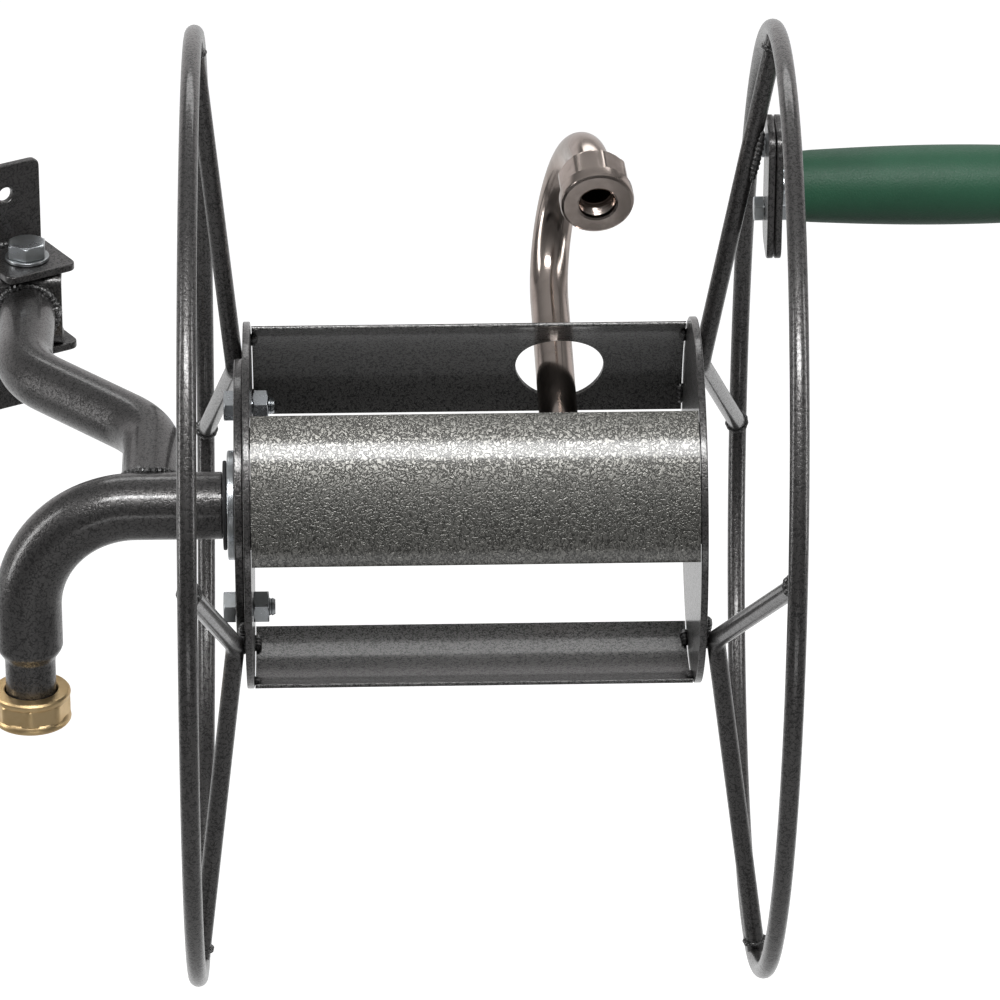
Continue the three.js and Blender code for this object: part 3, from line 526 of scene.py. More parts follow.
PAINT = hammered("hammered_enamel", rgb(0.026, 0.025, 0.025), rgb(0.098, 0.095, 0.094), 1.15, 0.20)
# The slats get lighter copies of the frame's enamel, which is painted light. The front slat's copy is the
# lightest and paints the light that falls on it. The back and low slats share a darker copy, which is painted
# shade.
LIT_SLAT_PAINT = hammered("hammered_enamel_painted_light", rgb(0.035, 0.034, 0.031), rgb(0.165, 0.162, 0.150), 0.95,
                      relief=0.50)
SHADED_SLAT_PAINT = hammered("hammered_enamel_painted_shade", rgb(0.026, 0.026, 0.026), rgb(0.125, 0.123, 0.120), 0.95,
                       relief=0.40, rough=0.38)
WELD_PAINT = hammered("hammered_enamel_weld", rgb(0.024, 0.024, 0.024), rgb(0.085, 0.084, 0.084), 1.15,
                      weld=True)
ZINC = plated("bright_zinc", rgb(0.62, 0.65, 0.68), rgb(0.44, 0.46, 0.46), 0.24, 0.20)
NICKEL = plated("warm_nickel", rgb(0.52, 0.45, 0.41), rgb(0.42, 0.36, 0.325), 0.13, 0.06)
BRASS = plated("cast_brass", rgb(0.78, 0.58, 0.32), rgb(0.64, 0.45, 0.22), 0.34, 0.25, cell=0.9)
RUBBER = moulded("black_rubber", rgb(0.012, 0.012, 0.013), rgb(0.022, 0.022, 0.023), 0.62, 0.8, 0.25)
NYLON = moulded("black_nylon", rgb(0.018, 0.018, 0.020), rgb(0.028, 0.028, 0.030), 0.45, 0.9, 0.15)
GREEN = moulded("green_grip", rgb(0.006, 0.058, 0.027), rgb(0.009, 0.074, 0.035), 0.55, 0.75, 0.55,
                sheen=0.06)
LOOKS = {
    "hammered_paint": PAINT, "zinc": ZINC, "nickel": NICKEL, "brass": BRASS,
    "black_rubber": RUBBER, "green_grip": GREEN, "black_nylon": NYLON,
}


# ---- Pieces
SHARP = 32  # edges that turn by more than this stay sharp


def mesh_of(name, shape, group, clean=True):
    points, faces = moved(shape, group)
    mesh = bpy.data.meshes.new(name)
    mesh.from_pydata([tuple(p) for p in points], [], faces)
    work = bmesh.new()
    work.from_mesh(mesh)
    if clean:
        bmesh.ops.remove_doubles(work, verts=work.verts, dist=1e-7)
        bmesh.ops.dissolve_degenerate(work, edges=work.edges, dist=1e-7)
    bmesh.ops.recalc_face_normals(work, faces=work.faces)
    work.to_mesh(mesh)
    work.free()
    return mesh


def piece(name, shape, group, body, slot, nodes=(), material=None, sharp=SHARP):
    """Makes one object from a shape in a group's millimetres, and puts it in place of its CAD nodes."""
    mesh = mesh_of(name, shape, group)
    mesh.shade_smooth()
    mesh.set_sharp_from_angle(angle=math.radians(sharp))
    made = bpy.data.objects.new(name, mesh)
    bpy.context.scene.collection.objects.link(made)
    mesh.materials.append(material or LOOKS[slot])
    normals = made.modifiers.new("even_normals", "WEIGHTED_NORMAL")
    normals.keep_sharp = True
    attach(made, body)
    if nodes:
        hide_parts(*nodes)
    return made


def carve(target, cutter_shape, group):
    """Cuts a shape out of a piece and keeps the result as its mesh."""
    mesh = mesh_of("cutter", cutter_shape, group, clean=False)
    tool = bpy.data.objects.new("cutter", mesh)
    bpy.context.scene.collection.objects.link(tool)
    cut = target.modifiers.new("cut", "BOOLEAN")
    cut.operation, cut.solver, cut.object = "DIFFERENCE", "EXACT", tool
    target.modifiers.move(len(target.modifiers) - 1, 0)
    bpy.context.view_layer.update()
    graph = bpy.context.evaluated_depsgraph_get()
    even = target.modifiers["even_normals"]
    even.show_viewport = False
    graph.update()
    result = bpy.data.meshes.new_from_object(target.evaluated_get(graph))
    target.modifiers.remove(cut)
    even.show_viewport = True
    old = target.data
    target.data = result
    result.shade_smooth()
    result.set_sharp_from_angle(angle=math.radians(SHARP))
    bpy.data.meshes.remove(old)
    bpy.data.objects.remove(tool)
    bpy.data.meshes.remove(mesh)


def cylinder(radius, low, high, sides=64):
    return skin([level(radius, height, sides) for height in (low, high)])


# ---- Wall bracket
def wall_bracket():
    body = "wall_bracket"
    reach = WALL_PLATE_HEIGHT / 2 - SCREW_HOLE_INSET
    outline = rounded_rectangle(STRIP_WIDTH, WALL_PLATE_HEIGHT, WALL_PLATE_CORNER)
    wall_plate = slab(outline, STRIP, [circle(0, s * reach, SCREW_HOLE / 2) for s in (1, -1)], 0.7)
    upright = Matrix.Rotation(math.pi / 2, 4, "X")
    piece("visual_wall_plate", moved(wall_plate, upright), WALL, body, "hammered_paint", ["wall_plate"])
    side, back = STRIP_WIDTH / 2, PIVOT_REACH - GAP
    front = back - EAR_REACH
    outline = fillet([(-side, back), (-side, front), (side, front), (side, back)], EAR_CORNER, True, 8)
    for name, bottom in (("upper", EAR_INNER), ("lower", -EAR_INNER - STRIP)):
        ear = slab(outline, STRIP, [circle(0, 0, PIVOT_HOLE / 2)], 0.6)
        ear = moved(ear, at(0, PIVOT_Y, bottom))
        piece(f"visual_{name}_ear", ear, WALL, body, "hammered_paint", [f"{name}_ear"])
    top = EAR_INNER + STRIP + GAP
    seat = top + WASHER_THICKNESS + GAP
    shape = bolt(PIVOT_HEX, PIVOT_HEAD, PIVOT_BOLT, seat + top + PIVOT_NUT + PIVOT_TAIL)
    piece("visual_pivot_bolt", moved(shape, at(0, PIVOT_Y, seat)), WALL, body, "zinc", ["pivot_bolt"])
    washer = ring(WASHER, PIVOT_HOLE, top, top + WASHER_THICKNESS)
    piece("visual_pivot_washer", moved(washer, at(0, PIVOT_Y, 0)), WALL, body, "zinc", ["pivot_washer"])
    shape = moved(nut(PIVOT_HEX, PIVOT_NUT, PIVOT_BOLT + 0.4), at(0, PIVOT_Y, -top - PIVOT_NUT))
    piece("visual_pivot_nut", shape, WALL, body, "zinc", ["pivot_nut"])
    seams = []
    for k, z in enumerate((EAR_INNER + STRIP + 0.5, -EAR_INNER - STRIP - 0.5)):
        seams.append(bead([(x, -STRIP - 0.6, z) for x in range(-15, 16, 2)], 1.7, k))
    piece("weld_ears", together(*seams), WALL, body, "hammered_paint", material=WELD_PAINT)


# ---- Arm
def bent_strip(line, thickness, half_width, edge=0.5):
    """A strip of sheet metal bent along a line of (y, z) points, width along X. half_width is per station."""
    line = [Vector(p) for p in line]
    rings = []
    for i, p in enumerate(line):
        d = (line[min(i + 1, len(line) - 1)] - line[max(i - 1, 0)]).normalized()
        normal = Vector((-d.y, d.x))
        w, t = half_width[i], thickness / 2
        e = min(edge, w * 0.45)
        section = fillet([(-w, -t), (w, -t), (w, t), (-w, t)], e, True, 3)
        rings.append([Vector((a, *(p + normal * b))) for a, b in section])
    return skin(rings)


def knuckle():
    """A U of strip with round tips at the back. It has no hole for the bolt that runs through it."""
    t, steps, half_width = STRIP / 2, 18, KNUCKLE_WIDTH / 2
    z = EAR_INNER - GAP - t
    front = t - KNUCKLE_FRONT
    middle = [tuple(p) for p in fillet([(0.0, z), (front, z), (front, -z), (0.0, -z)], 4.0, False, 7)]
    turns = [math.pi / 2 * s / steps for s in range(steps)]
    tip = [KNUCKLE_BACK * math.cos(a) for a in turns]
    taper = [max(1.2, half_width * math.sin(a)) for a in turns]
    line = [(y, z) for y in tip] + middle + [(y, -z) for y in reversed(tip)]
    return bent_strip(line, STRIP, taper + [half_width] * len(middle) + taper[::-1])


def inlet_stations(end):
    return bent([(end, 0, 0), (DROP_X, 0, 0), (DROP_X, 0, TAPER_TOP)], PIPE_BEND, 3)


def arm():
    body = "arm"
    piece("visual_knuckle", knuckle(), ARM, body, "hammered_paint", ["swivel_knuckle"])
    path = bent([(0, -KNUCKLE_FRONT - GAP, 0), (0, -ARM_FIRST_RUN, 0),
                 (ARM_SIDE_STEP, -ARM_SECOND_CORNER, 0), (ARM_SIDE_STEP, -AXLE_REACH, 0)], ARM_BEND, 3)
    tube = sweep(path, ARM_TUBE, ARM_TUBE - 2 * ARM_WALL, sides=48, end_edge=0.2)
    made = piece("visual_support_arm", tube, ARM, body, "hammered_paint", ["support_arm"])
    main = inlet_stations(PIPE_END)
    carve(made, moved(sweep(main, PIPE - 1.0, sides=48, end_edge=0.1), at(0, -AXLE_REACH, 0)), ARM)

    taper_end, flare_top = TAPER_TOP - TAPER_LENGTH, NECK_BOTTOM + FLARE_HEIGHT
    low = [(Vector((DROP_X, 0, z)), -Z) for z in (
        TAPER_TOP - 1.6, TAPER_TOP - 3.4, TAPER_TOP - 5.2, taper_end, taper_end - 2,
        flare_top + 1.2, flare_top, flare_top - 0.4, NECK_BOTTOM)]
    outer = {1: 27.6, 2: 25.4, 3: 23.0, 4: 21.9, 5: NECK, 6: NECK, 7: NECK + 0.6, 8: FLARE, 9: FLARE}
    bore = {1: 23.4, 2: 21.0, 3: 18.4, 4: 16.6}
    count = len(main)
    pipe = sweep(main + low, lambda i: PIPE if i < count else outer[i - count + 1],
                 lambda i: PIPE - 2 * PIPE_WALL if i < count else bore.get(i - count + 1, NECK_BORE), 56, 0.4)
    pipe = moved(pipe, at(0, -AXLE_REACH, 0))
    piece("visual_inlet_pipe", pipe, ARM, body, "hammered_paint", ["inlet_pipe"])

    nut_place = at(DROP_X, -AXLE_REACH, 0)
    gasket = ring(NUT_BORE - 2 * GAP, NECK_BORE, NECK_BOTTOM - GAP - GASKET_THICKNESS, NECK_BOTTOM - GAP, 0.7)
    piece("visual_inlet_gasket", moved(gasket, nut_place), ARM, body, "black_rubber", ["inlet_gasket"])
    seal = moved(ring(SEAL, HUB + 2 * GAP, SEAL_LEFT, SEAL_RIGHT, 0.6), at(0, -AXLE_REACH, 0) @ ALONG_AXLE)
    piece("visual_axle_seal", seal, ARM, body, "black_rubber", ["axle_seal"])
    right = PIPE_END - TURN_GAP
    sleeve = ring(PIPE - 2 * PIPE_WALL - 2 * GAP, HUB + 2 * GAP, right - SLEEVE_LENGTH, right, 0.3)
    sleeve = moved(sleeve, at(0, -AXLE_REACH, 0) @ ALONG_AXLE)
    piece("visual_axle_sleeve", sleeve, ARM, body, "black_nylon", ["axle_sleeve"])

    turns = [TAU * i / 40 for i in range(40)]
    collar = ARM_TUBE / 2 + 0.6
    round_tube = [(collar * math.cos(a), -KNUCKLE_FRONT - 0.8, collar * math.sin(a)) for a in turns]
    root = bead(round_tube, 2.0, 5, True)
    saddle = []
    for a in turns:
        x, z = ARM_SIDE_STEP + collar * math.cos(a), collar * math.sin(a)
        past = max(0.0, DROP_X + PIPE_BEND - x)
        sag = PIPE_BEND - math.sqrt(PIPE_BEND ** 2 - past ** 2)
        saddle.append((x, -AXLE_REACH + math.sqrt(max(1.0, (PIPE / 2 + 0.5) ** 2 - (z + sag) ** 2)), z))
    foot = bead(saddle, 2.1, 6, True)
    piece("weld_arm", together(root, foot), ARM, body, "hammered_paint", material=WELD_PAINT)


def hose_nut():
    """The coupling nut: two round rims with a faceted waist, over a bore with ridges for a thread."""
    top, bottom = NUT_TOP, NUT_TOP - NUT_HEIGHT
    loop = coupling_loop(NUT_FLATS)
    rim, h = NUT_RIM / 2, NUT_RIM_HEIGHT
    rings = [loop(rim - 1.6, bottom), loop(rim - 0.7, bottom + 0.3), loop(rim - 0.1, bottom + 1.1),
             loop(rim, bottom + 1.8), loop(rim - 0.2, bottom + h - 0.7), loop(rim - 0.7, bottom + h),
             loop(16.6, bottom + h + 0.5, True), loop(16.6, top - h - 0.5, True),
             loop(rim - 0.7, top - h), loop(rim - 0.2, top - h + 0.7), loop(rim, top - 1.8),
             loop(rim - 0.1, top - 1.1), loop(rim - 0.7, top - 0.3), loop(rim - 1.6, top),
             loop(NECK / 2 + 1.0, top), loop(NECK / 2 + 0.6, top - 0.4),
             loop(NECK / 2 + 0.6, top - NUT_TOP_WALL)]
    bore, height = NUT_BORE / 2, top - NUT_TOP_WALL
    rings.append(loop(bore, height))
    height -= 4.2
    while height > bottom + 2.6:
        rings += [loop(bore, height), loop(bore - 0.9, height - 0.9), loop(bore, height - 1.8)]
        height -= 2.2
    rings += [loop(bore, bottom + 1.0), loop(bore + 0.8, bottom)]
    shape = moved(skin(rings, closed=True), at(DROP_X, -AXLE_REACH, 0))
    piece("visual_inlet_nut", shape, ARM, "hose_nut", "brass", ["inlet_nut"], sharp=26)


# ---- Reel
def slat(angle):
    """A sheet rolled to the drum's radius, with rounded long edges."""
    a0, a1 = angle - SLAT_ARC / 2, angle + SLAT_ARC / 2
    outer, t, steps = DISC / 2, SLAT_THICKNESS, 28
    nose = math.degrees(0.5 / outer)
    corner = [(outer - 0.15, 0.4), (outer - 0.5, 0), (outer - t + 0.5, 0), (outer - t + 0.15, 0.4)]
    section = [(outer, a0 + nose + (a1 - a0 - 2 * nose) * s / steps) for s in range(steps + 1)]
    section += [(r, a1 - nose * k) for r, k in corner]
    section += [(outer - t, a1 - nose - (a1 - a0 - 2 * nose) * s / steps) for s in range(steps + 1)]
    section += [(r, a0 + nose * k) for r, k in reversed(corner)]
    left, right = DRUM_LEFT + GAP, DRUM_RIGHT - GAP
    places = [left + (right - left) * k / 36 for k in range(37)]
    return skin([[around_axle(x, r, a) for r, a in section] for x in places])


def disc(diameter, left, right, bore):
    if bore:
        return moved(ring(diameter, bore, left, right, 0.6, 144), ALONG_AXLE)
    r = diameter / 2
    return moved(turned([(0, left), (r, left), (r, right), (0, right)], 144, 0.6, closed=False), ALONG_AXLE)


def on_rim(side, radius, angle):
    """A point of the rim's plane, which leans a little out of square to the axle."""
    point = around_axle(RIM_X[side], radius, angle)
    point.x += point.z * math.tan(RIM_LEAN[side])
    return point


def spokes(side, angle):
    """One bent rod is two spokes. Its ends run into the rim, where a bead closes the joint."""
    reach = RIM_RADIUS - ROD * 0.32
    foot = around_axle(FOOT_X[side], FOOT_RADIUS, angle)
    return bent([on_rim(side, reach, angle - SPOKE_SPREAD), foot, on_rim(side, reach, angle + SPOKE_SPREAD)],
                SPOKE_BEND, 5)


def rim(side):
    rings = []
    steps, sides = 180, 20
    for i in range(steps):
        middle = around_axle(0, 1, 360 * i / steps)
        rings.append([middle * (RIM_RADIUS + ROD / 2 * math.cos(TAU * k / sides))
                      + X * (ROD / 2 * math.sin(TAU * k / sides)) for k in range(sides)])
    return moved(skin(rings, closed=True), at(RIM_X[side], 0, 0) @ Matrix.Rotation(RIM_LEAN[side], 4, "Y"))


def ring_bead(centre, direction, radius, size, seed):
    u = direction.orthogonal().normalized()
    v = direction.cross(u)
    line = [centre + (u * math.cos(TAU * k / 24) + v * math.sin(TAU * k / 24)) * radius for k in range(24)]
    return bead(line, size, seed, True)


def reel_frame():
    body = "reel"
    hub = moved(ring(HUB, HUB - 2 * HUB_WALL, HUB_LEFT, DRUM_RIGHT - GAP, 0.5, 64), ALONG_AXLE)
    piece("visual_hub_tube", hub, REEL, body, "hammered_paint", ["hub_tube"])
    flange = ring(FLANGE, HUB + 2 * GAP, FLANGE_LEFT, FLANGE_RIGHT, 0.8)
    piece("visual_bearing_flange", moved(flange, ALONG_AXLE), REEL, body, "zinc", ["bearing_flange"])
    bearing = disc(BEARING, BEARING_LEFT, BEARING_RIGHT, HUB + 2 * GAP)
    piece("visual_bearing_plate", bearing, REEL, body, "hammered_paint", ["bearing_plate"])
    left = disc(DISC, DISC_LEFT, DRUM_LEFT, HUB + 2 * GAP)
    piece("visual_left_disc", left, REEL, body, "hammered_paint", ["left_disc"])
    right = disc(DISC, DRUM_RIGHT, DRUM_RIGHT + DISC_THICKNESS, 0)
    piece("visual_right_disc", right, REEL, body, "hammered_paint", ["right_disc"])
    for name, angle in SLATS.items():
        # The front slat takes the enamel with painted light. The back and low slats take the one with painted
        # shade.
        paint = LIT_SLAT_PAINT if name == "slat_front" else SHADED_SLAT_PAINT
        made = piece(f"visual_{name}", slat(angle), REEL, body, "hammered_paint", [name], paint)
        if name == "slat_back":
            spin = Matrix.Rotation(math.radians(SLAT_HOLE_ANGLE - 90), 4, "X")
            carve(made, cylinder(SLAT_HOLE / 2, 40, 110), REEL @ at(NECK_X, 0, 0) @ spin)
    for side in ("left", "right"):
        piece(f"visual_{side}_rim", rim(side), REEL, body, "hammered_paint", [f"{side}_rim"])
        beads = []
        face = -1 if side == "left" else 1
        plate_x = DISC_LEFT if side == "left" else DRUM_RIGHT + DISC_THICKNESS
        for place, angle in SPOKE_ANGLES.items():
            path = spokes(side, angle)
            name = f"{side}_spokes_{place}"
            piece(f"visual_{name}", sweep(path, ROD, sides=20), REEL, body, "hammered_paint", [name])
            for k, (point, direction) in enumerate((path[0], path[-1])):
                inward = direction if k == 0 else -direction
                centre = point + inward * (ROD * 0.32 - ROD * 0.08)
                beads.append(ring_bead(centre + inward * 3.2, inward, 4.1, 1.15, angle + k))
            along = (around_axle(0, 1, angle + 90)).normalized()
            out = around_axle(0, 1, angle)
            for k, offset in enumerate((-3.4, 3.4)):
                line = [around_axle(plate_x + face * 1.0, FOOT_RADIUS - 3.6, angle) + out * offset + along * s
                        for s in (-6, -3, 0, 3, 6)]
                beads.append(bead(line, 1.9, angle + 7 * k))
        inner = DRUM_LEFT if side == "left" else DRUM_RIGHT
        for j, middle in enumerate(SLATS.values()):
            for k, offset in enumerate((-17, 15)):
                line = [around_axle(inner - face * 0.9, DISC / 2 - SLAT_THICKNESS - 0.7, middle + offset + s)
                        for s in (-4, -2, 0, 2, 4)]
                beads.append(bead(line, 1.7, j * 3 + k + (11 if side == "left" else 23)))
        if side == "right":
            beads.append(ring_bead(Vector((DRUM_RIGHT - 0.8, 0, 0)), X, HUB / 2 + 0.9, 1.9, 41))
        piece(f"weld_{side}_side", together(*beads), REEL, body, "hammered_paint", material=WELD_PAINT)
    for place, angle in SPOKE_ANGLES.items():
        y, z = around_axle(0, PLATE_BOLT_CIRCLE, angle).yz
        seat = BEARING_LEFT - GAP
        length = DRUM_LEFT + GAP + PLATE_NUT + PLATE_TAIL - seat
        shape = bolt(PLATE_BOLT_HEX, PLATE_HEAD, PLATE_BOLT, length)
        shape = moved(shape, at(seat, y, z) @ ALONG_AXLE @ FLIP)
        piece(f"visual_plate_bolt_{place}", shape, REEL, body, "zinc", [f"plate_bolt_{place}"])
        shape = nut(PLATE_BOLT_HEX, PLATE_NUT, PLATE_BOLT + 2 * GAP)
        shape = moved(shape, at(DRUM_LEFT + GAP, y, z) @ ALONG_AXLE)
        piece(f"visual_plate_nut_{place}", shape, REEL, body, "zinc", [f"plate_nut_{place}"])


# ---- Gooseneck, made with its root on the axle, running out along Z and bending towards -Y
def neck_place():
    tilt = Matrix.Rotation(math.radians(NECK_ANGLE - 90), 4, "X")
    lean = Matrix.Rotation(-math.radians(NECK_LEAN), 4, "Y")
    return at(NECK_X, 0, 0) @ tilt @ lean @ Matrix.Rotation(math.radians(NECK_YAW), 4, "Z")


def neck_path(start, tip_length):
    turn = math.radians(NECK_TURN)
    corner = NECK_BEND * math.tan(turn / 4)
    first = Vector((0, 0, NECK_RUN + corner))
    second = first + Vector((0, -math.sin(turn / 2), math.cos(turn / 2))) * 2 * corner
    way = Vector((0, -math.sin(turn), math.cos(turn)))
    return bent([(0, 0, start), first, second, second + way * (corner + tip_length)], NECK_BEND, 3, 5)


def gooseneck():
    body = "reel"
    path = neck_path(HUB / 2 - 1.2, NECK_TAIL + SOCKET)
    tube = sweep(path, NECK_TUBE, NECK_TUBE - 2 * NECK_TUBE_WALL, 56, 0.3)
    piece("visual_gooseneck", moved(tube, neck_place()), REEL, body, "nickel", ["gooseneck"])
    root = []
    for i in range(32):
        a = TAU * i / 32
        x, y = 8.7 * math.cos(a), 8.7 * math.sin(a)
        root.append((x, y, math.sqrt((HUB / 2 + 0.4) ** 2 - y * y * 0.97)))
    shape = moved(bead(root, 1.6, 51, True), neck_place())
    piece("weld_gooseneck", shape, REEL, body, "nickel", material=NICKEL)
    tip, way = path[-1]
    front = tip + way * (OUTLET_LENGTH - SOCKET)
    loop = coupling_loop(OUTLET_FLATS)
    length, rim_r, bore, socket = OUTLET_LENGTH, OUTLET_RIM / 2, OUTLET_BORE / 2, NECK_TUBE / 2 + 0.15
    rings = [loop(socket, 0.5), loop(socket + 0.7, 0), loop(13.2, 0, True), loop(14.5, 0.35, True),
             loop(15.3, 1.2, True), loop(15.3, length - 7.1, True),
             loop(rim_r - 0.5, length - 6.5), loop(rim_r, length - 6.0),
             loop(rim_r, length - 1.7), loop(rim_r - 0.45, length - 0.6), loop(rim_r - 1.5, length),
             loop(bore + 1.0, length), loop(bore + 0.2, length - 0.5), loop(bore, length - 1.4)]
    height = length - 2.4
    while height > SOCKET + 2.5:
        rings += [loop(bore, height), loop(bore + 0.55, height - 0.7), loop(bore, height - 1.4)]
        height -= 1.7
    rings += [loop(bore, SOCKET + 0.3), loop(socket, SOCKET + 0.3)]
    turn = Matrix.Rotation(math.radians(NECK_TURN), 4, "X")
    place = neck_place() @ Matrix.Translation(front) @ turn @ at(0, 0, -length)
    shape = moved(skin(rings, closed=True), place)
    piece("visual_outlet", shape, REEL, body, "nickel", ["outlet_fitting"], sharp=26)


# ---- Handle
def handle_place():
    """The grip axis on the upper right spoke: its centre, the spoke's angle and the plates' left face."""
    foot = around_axle(FOOT_X["right"], FOOT_RADIUS, SPOKE_ANGLES["upper"])
    tip = on_rim("right", SPOKE_REACH, SPOKE_ANGLES["upper"] + SPOKE_SPREAD)
    foot_flat, span = Vector((0, foot.y, foot.z)), Vector((0, tip.y - foot.y, tip.z - foot.z))
    way = span.normalized()
    along = foot_flat.dot(way)
    share = math.sqrt(HANDLE_RADIUS ** 2 - foot_flat.length_squared + along ** 2) - along
    centre = foot.lerp(tip, share / span.length)
    slope = (tip.x - foot.x) / span.length
    reach = min(PLATE_LENGTH / 2, span.length - share)
    left = centre.x + slope * reach + ROD / 2 * math.hypot(1, slope) + GAP
    return centre, math.atan2(way.z, way.y), left, slope


def handle():
    body = "reel"
    centre, angle, left, slope = handle_place()

    def put(x):
        """From a shape along Z, with its X along the spoke, to the handle at that place along the axle."""
        return at(x, centre.y, centre.z) @ Matrix.Rotation(angle, 4, "X") @ ALONG_AXLE

    outline = rounded_rectangle(PLATE_LENGTH, PLATE_WIDTH, PLATE_WIDTH / 3)
    holes = [circle(s * BOLT_ALONG, -BOLT_SIDE, HANDLE_HOLE / 2) for s in (1, -1)]
    outer_left = left + PLATE_THICKNESS + GAP
    for name, x in (("inner", left), ("outer", outer_left)):
        shape = moved(slab(outline, PLATE_THICKNESS, holes, 0.7), put(x))
        piece(f"visual_handle_plate_{name}", shape, REEL, body, "hammered_paint", [f"handle_plate_{name}"])
    root = left + 2 * PLATE_THICKNESS + 2 * GAP
    for place, along in (("upper", BOLT_ALONG), ("lower", -BOLT_ALONG)):
        length = 2 * PLATE_THICKNESS + 3 * GAP + HANDLE_NUT + HANDLE_TAIL
        shape = bolt(HANDLE_BOLT_HEX, HANDLE_HEAD, HANDLE_BOLT, length)
        shape = moved(shape, put(left - GAP) @ at(along, -BOLT_SIDE, 0) @ FLIP)
        piece(f"visual_handle_bolt_{place}", shape, REEL, body, "zinc", [f"handle_bolt_{place}"])
        shape = nut(HANDLE_BOLT_HEX, HANDLE_NUT, HANDLE_BOLT + 2 * GAP)
        shape = moved(shape, put(root) @ at(along, -BOLT_SIDE, 0))
        piece(f"visual_handle_nut_{place}", shape, REEL, body, "zinc", [f"handle_nut_{place}"])
    beads = []
    for k, side in enumerate((-4.2, 4.2)):
        line = []
        for s in (4, 10, 16, 22, 28):
            rod_x = centre.x + slope * s - left
            line.append(Vector((s, side * 0.9, min(-0.7, rod_x + ROD * 0.36))))
        beads.append(moved(bead(line, 1.7, 61 + k), put(left)))
    piece("weld_handle", together(*beads), REEL, body, "hammered_paint", material=WELD_PAINT)

    head = COLLAR_LENGTH + 2 * TURN_GAP + GRIP_LENGTH - COUNTERBORE_DEPTH
    stud = turned([(0, 0), (COLLAR / 2, 0), (COLLAR / 2, COLLAR_LENGTH), (STUD / 2, COLLAR_LENGTH),
                   (STUD / 2, head), (0, head)], 64, 0.5, closed=False)
    stud = together(stud, moved(faceted(6, STUD_HEX, hex_levels(0, STUD_HEAD)), at(0, 0, head)))
    piece("visual_grip_stud", moved(stud, put(root)), REEL, body, "zinc", ["grip_stud"])
    start, seat = root + COLLAR_LENGTH + TURN_GAP, GRIP_LENGTH - COUNTERBORE_DEPTH
    bushing = ring(GRIP_BORE - 2 * GAP, STUD + 2 * GAP, 0, seat - GAP, 0.3, 48)
    piece("visual_grip_bushing", moved(bushing, put(start)), REEL, "grip", "black_nylon", ["grip_bushing"])
    bore, end, swell, steps = GRIP_BORE / 2, GRIP_ENDS / 2, (GRIP_MIDDLE - GRIP_ENDS) / 2, 40
    turns = [math.pi / 2 * s / 8 for s in range(9)]
    shoulder = [(end - GRIP_EDGE + GRIP_EDGE * math.sin(a), 3.6 * (1 - math.cos(a))) for a in turns]
    outline = [(bore, 0.4), (bore + 0.6, 0)] + shoulder
    for s in range(1, steps):
        h = GRIP_EDGE + (GRIP_LENGTH - 2 * GRIP_EDGE) * s / steps
        outline.append((end + swell * math.sin(math.pi * h / GRIP_LENGTH), h))
    outline += [(r, GRIP_LENGTH - h) for r, h in reversed(shoulder)]
    outline += [(COUNTERBORE / 2 + 0.6, GRIP_LENGTH), (COUNTERBORE / 2, GRIP_LENGTH - 0.6),
                (COUNTERBORE / 2, seat), (bore, seat)]
    shape = moved(turned(outline, 96, 0, closed=True), put(start))
    piece("visual_grip", shape, REEL, "grip", "green_grip", ["grip"])


wall_bracket()
arm()
hose_nut()
reel_frame()
gooseneck()
handle()


# ---- Stage
def studio(x, y, z):
    """A place in metres, in the frame of the arm, which faces the camera."""
    return ARM_FRAME @ Vector((x, y, z))


def light(name, place, target, size, watts):
    data = bpy.data.lights.new(name, "AREA")
    data.shape, data.size, data.size_y = "RECTANGLE", size[0], size[1]
    data.energy = watts
    lamp = bpy.data.objects.new(name, data)
    bpy.context.scene.collection.objects.link(lamp)
    lamp.location = place
    lamp.rotation_euler = (target - place).to_track_quat("-Z", "Y").to_euler()


def pale_floor(back_way):
    """A floor well below the object. It glows for the camera, and brightens towards the back for all."""
    mesh = bpy.data.meshes.new("floor")
    reach, drop = 9.0, CAD_BOX[0].z - 0.9
    corners = [(-reach, -reach, drop), (reach, -reach, drop), (reach, reach, drop), (-reach, reach, drop)]
    mesh.from_pydata(corners, [], [(0, 1, 2, 3)])
    floor = bpy.data.objects.new("floor", mesh)
    bpy.context.scene.collection.objects.link(floor)
    n = Nodes("pale_floor")
    seen = n.add("ShaderNodeLightPath").outputs["Is Camera Ray"]
    n.set(Base_Color=rgb(0.45, 0.45, 0.45), Roughness=0.9, Emission_Color=rgb(1, 1, 1))
    lit = n.span(n.vector("DOT_PRODUCT", "Value", i0=n.where, i1=back_way), 0.0, 0.9, 0.0, 0.55)
    n.set(Emission_Strength=n.math("MAXIMUM", lit, n.math("MULTIPLY", seen, 0.88)))
    mesh.materials.append(n.material)


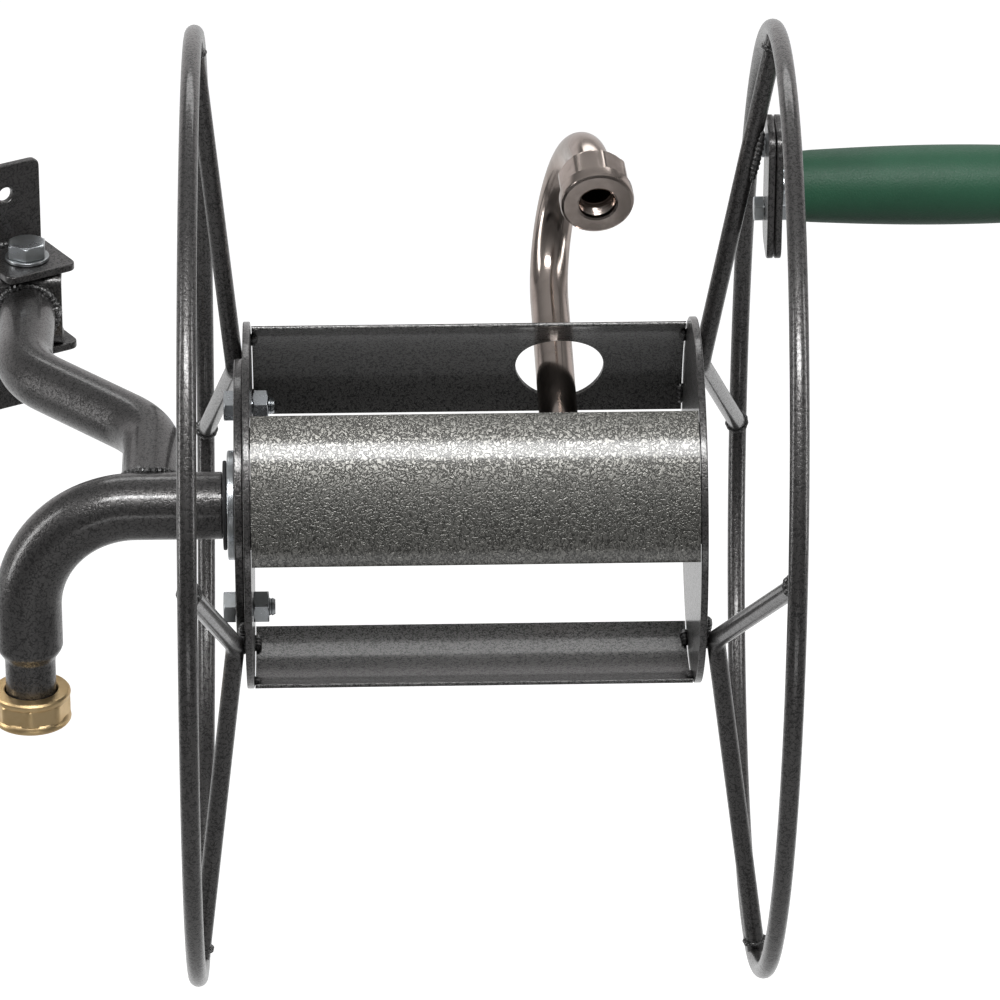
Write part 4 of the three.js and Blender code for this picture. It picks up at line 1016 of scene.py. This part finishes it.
def studio_world(back_way):
    """White for the camera. For all else a grey room with a bright backdrop behind the object."""
    world = bpy.data.worlds.new("studio")
    bpy.context.scene.world = world
    world.use_nodes = True
    n = Tree(world.node_tree)
    where = n.add("ShaderNodeTexCoord").outputs["Generated"]
    height = n.add("ShaderNodeSeparateXYZ", i0=where).outputs["Z"]
    ramp = n.add("ShaderNodeValToRGB", Fac=n.span(height, -1, 1, curve="LINEAR"))
    greys = ramp.color_ramp.elements
    greys[0].color, greys[1].color = rgb(0.10, 0.10, 0.10), rgb(0.40, 0.40, 0.40)
    for place, grey in ((0.42, 0.08), (0.60, 0.09), (0.80, 0.24)):
        greys.new(place).color = rgb(grey, grey, grey)
    behind = n.span(n.vector("DOT_PRODUCT", "Value", i0=where, i1=back_way), 0.30, 0.65, curve="LINEAR")
    below = n.span(height, 0.45, 0.25, curve="LINEAR")
    backdrop = n.math("MULTIPLY", behind, below)
    room = n.tree.nodes["Background"]
    n.put(room.inputs["Color"], n.mix(backdrop, ramp.outputs["Color"], rgb(0.72, 0.70, 0.70)))
    white = n.add("ShaderNodeBackground", Color=rgb(1, 1, 1), Strength=1.02)
    seen = n.add("ShaderNodeLightPath").outputs["Is Camera Ray"]
    both = n.add("ShaderNodeMixShader", i0=seen, i1=room.outputs[0], i2=white.outputs[0])
    n.put(n.tree.nodes["World Output"].inputs["Surface"], both.outputs[0])


def stage():
    back_way = (ARM_FRAME.to_3x3() @ Vector((0, 1, 0))).normalized()
    pale_floor(back_way)
    studio_world(back_way)
    middle = studio(0.2, -0.2, 0.0)
    light("key", studio(0.1, -1.25, 1.68), middle, (1.5, 0.34), 34)
    light("left_wall", studio(-1.6, -0.3, 0.5), middle, (0.35, 1.6), 11)
    light("right_wall", studio(2.0, -0.4, 0.6), middle, (0.35, 1.6), 11)
    light("back_top", studio(0.3, 1.2, 1.3), middle, (1.6, 0.5), 7)
    light("front_low", studio(0.3, -2.2, -0.35), middle, (1.2, 0.35), 2.5)


def camera():
    data = bpy.data.cameras.new("camera")
    data.lens, data.sensor_width = 233.6, 36.0
    data.clip_start, data.clip_end = 0.1, 40.0
    eye = bpy.data.objects.new("camera", data)
    bpy.context.scene.collection.objects.link(eye)
    place, target = ARM @ Vector((136.5, -2684, 1206)), ARM @ Vector((207.3, -213, 0.9))
    eye.location = place
    eye.rotation_euler = (target - place).to_track_quat("-Z", "Y").to_euler()
    bpy.context.scene.camera = eye


camera()
stage()
bpy.context.scene.view_settings.view_transform = "Standard"
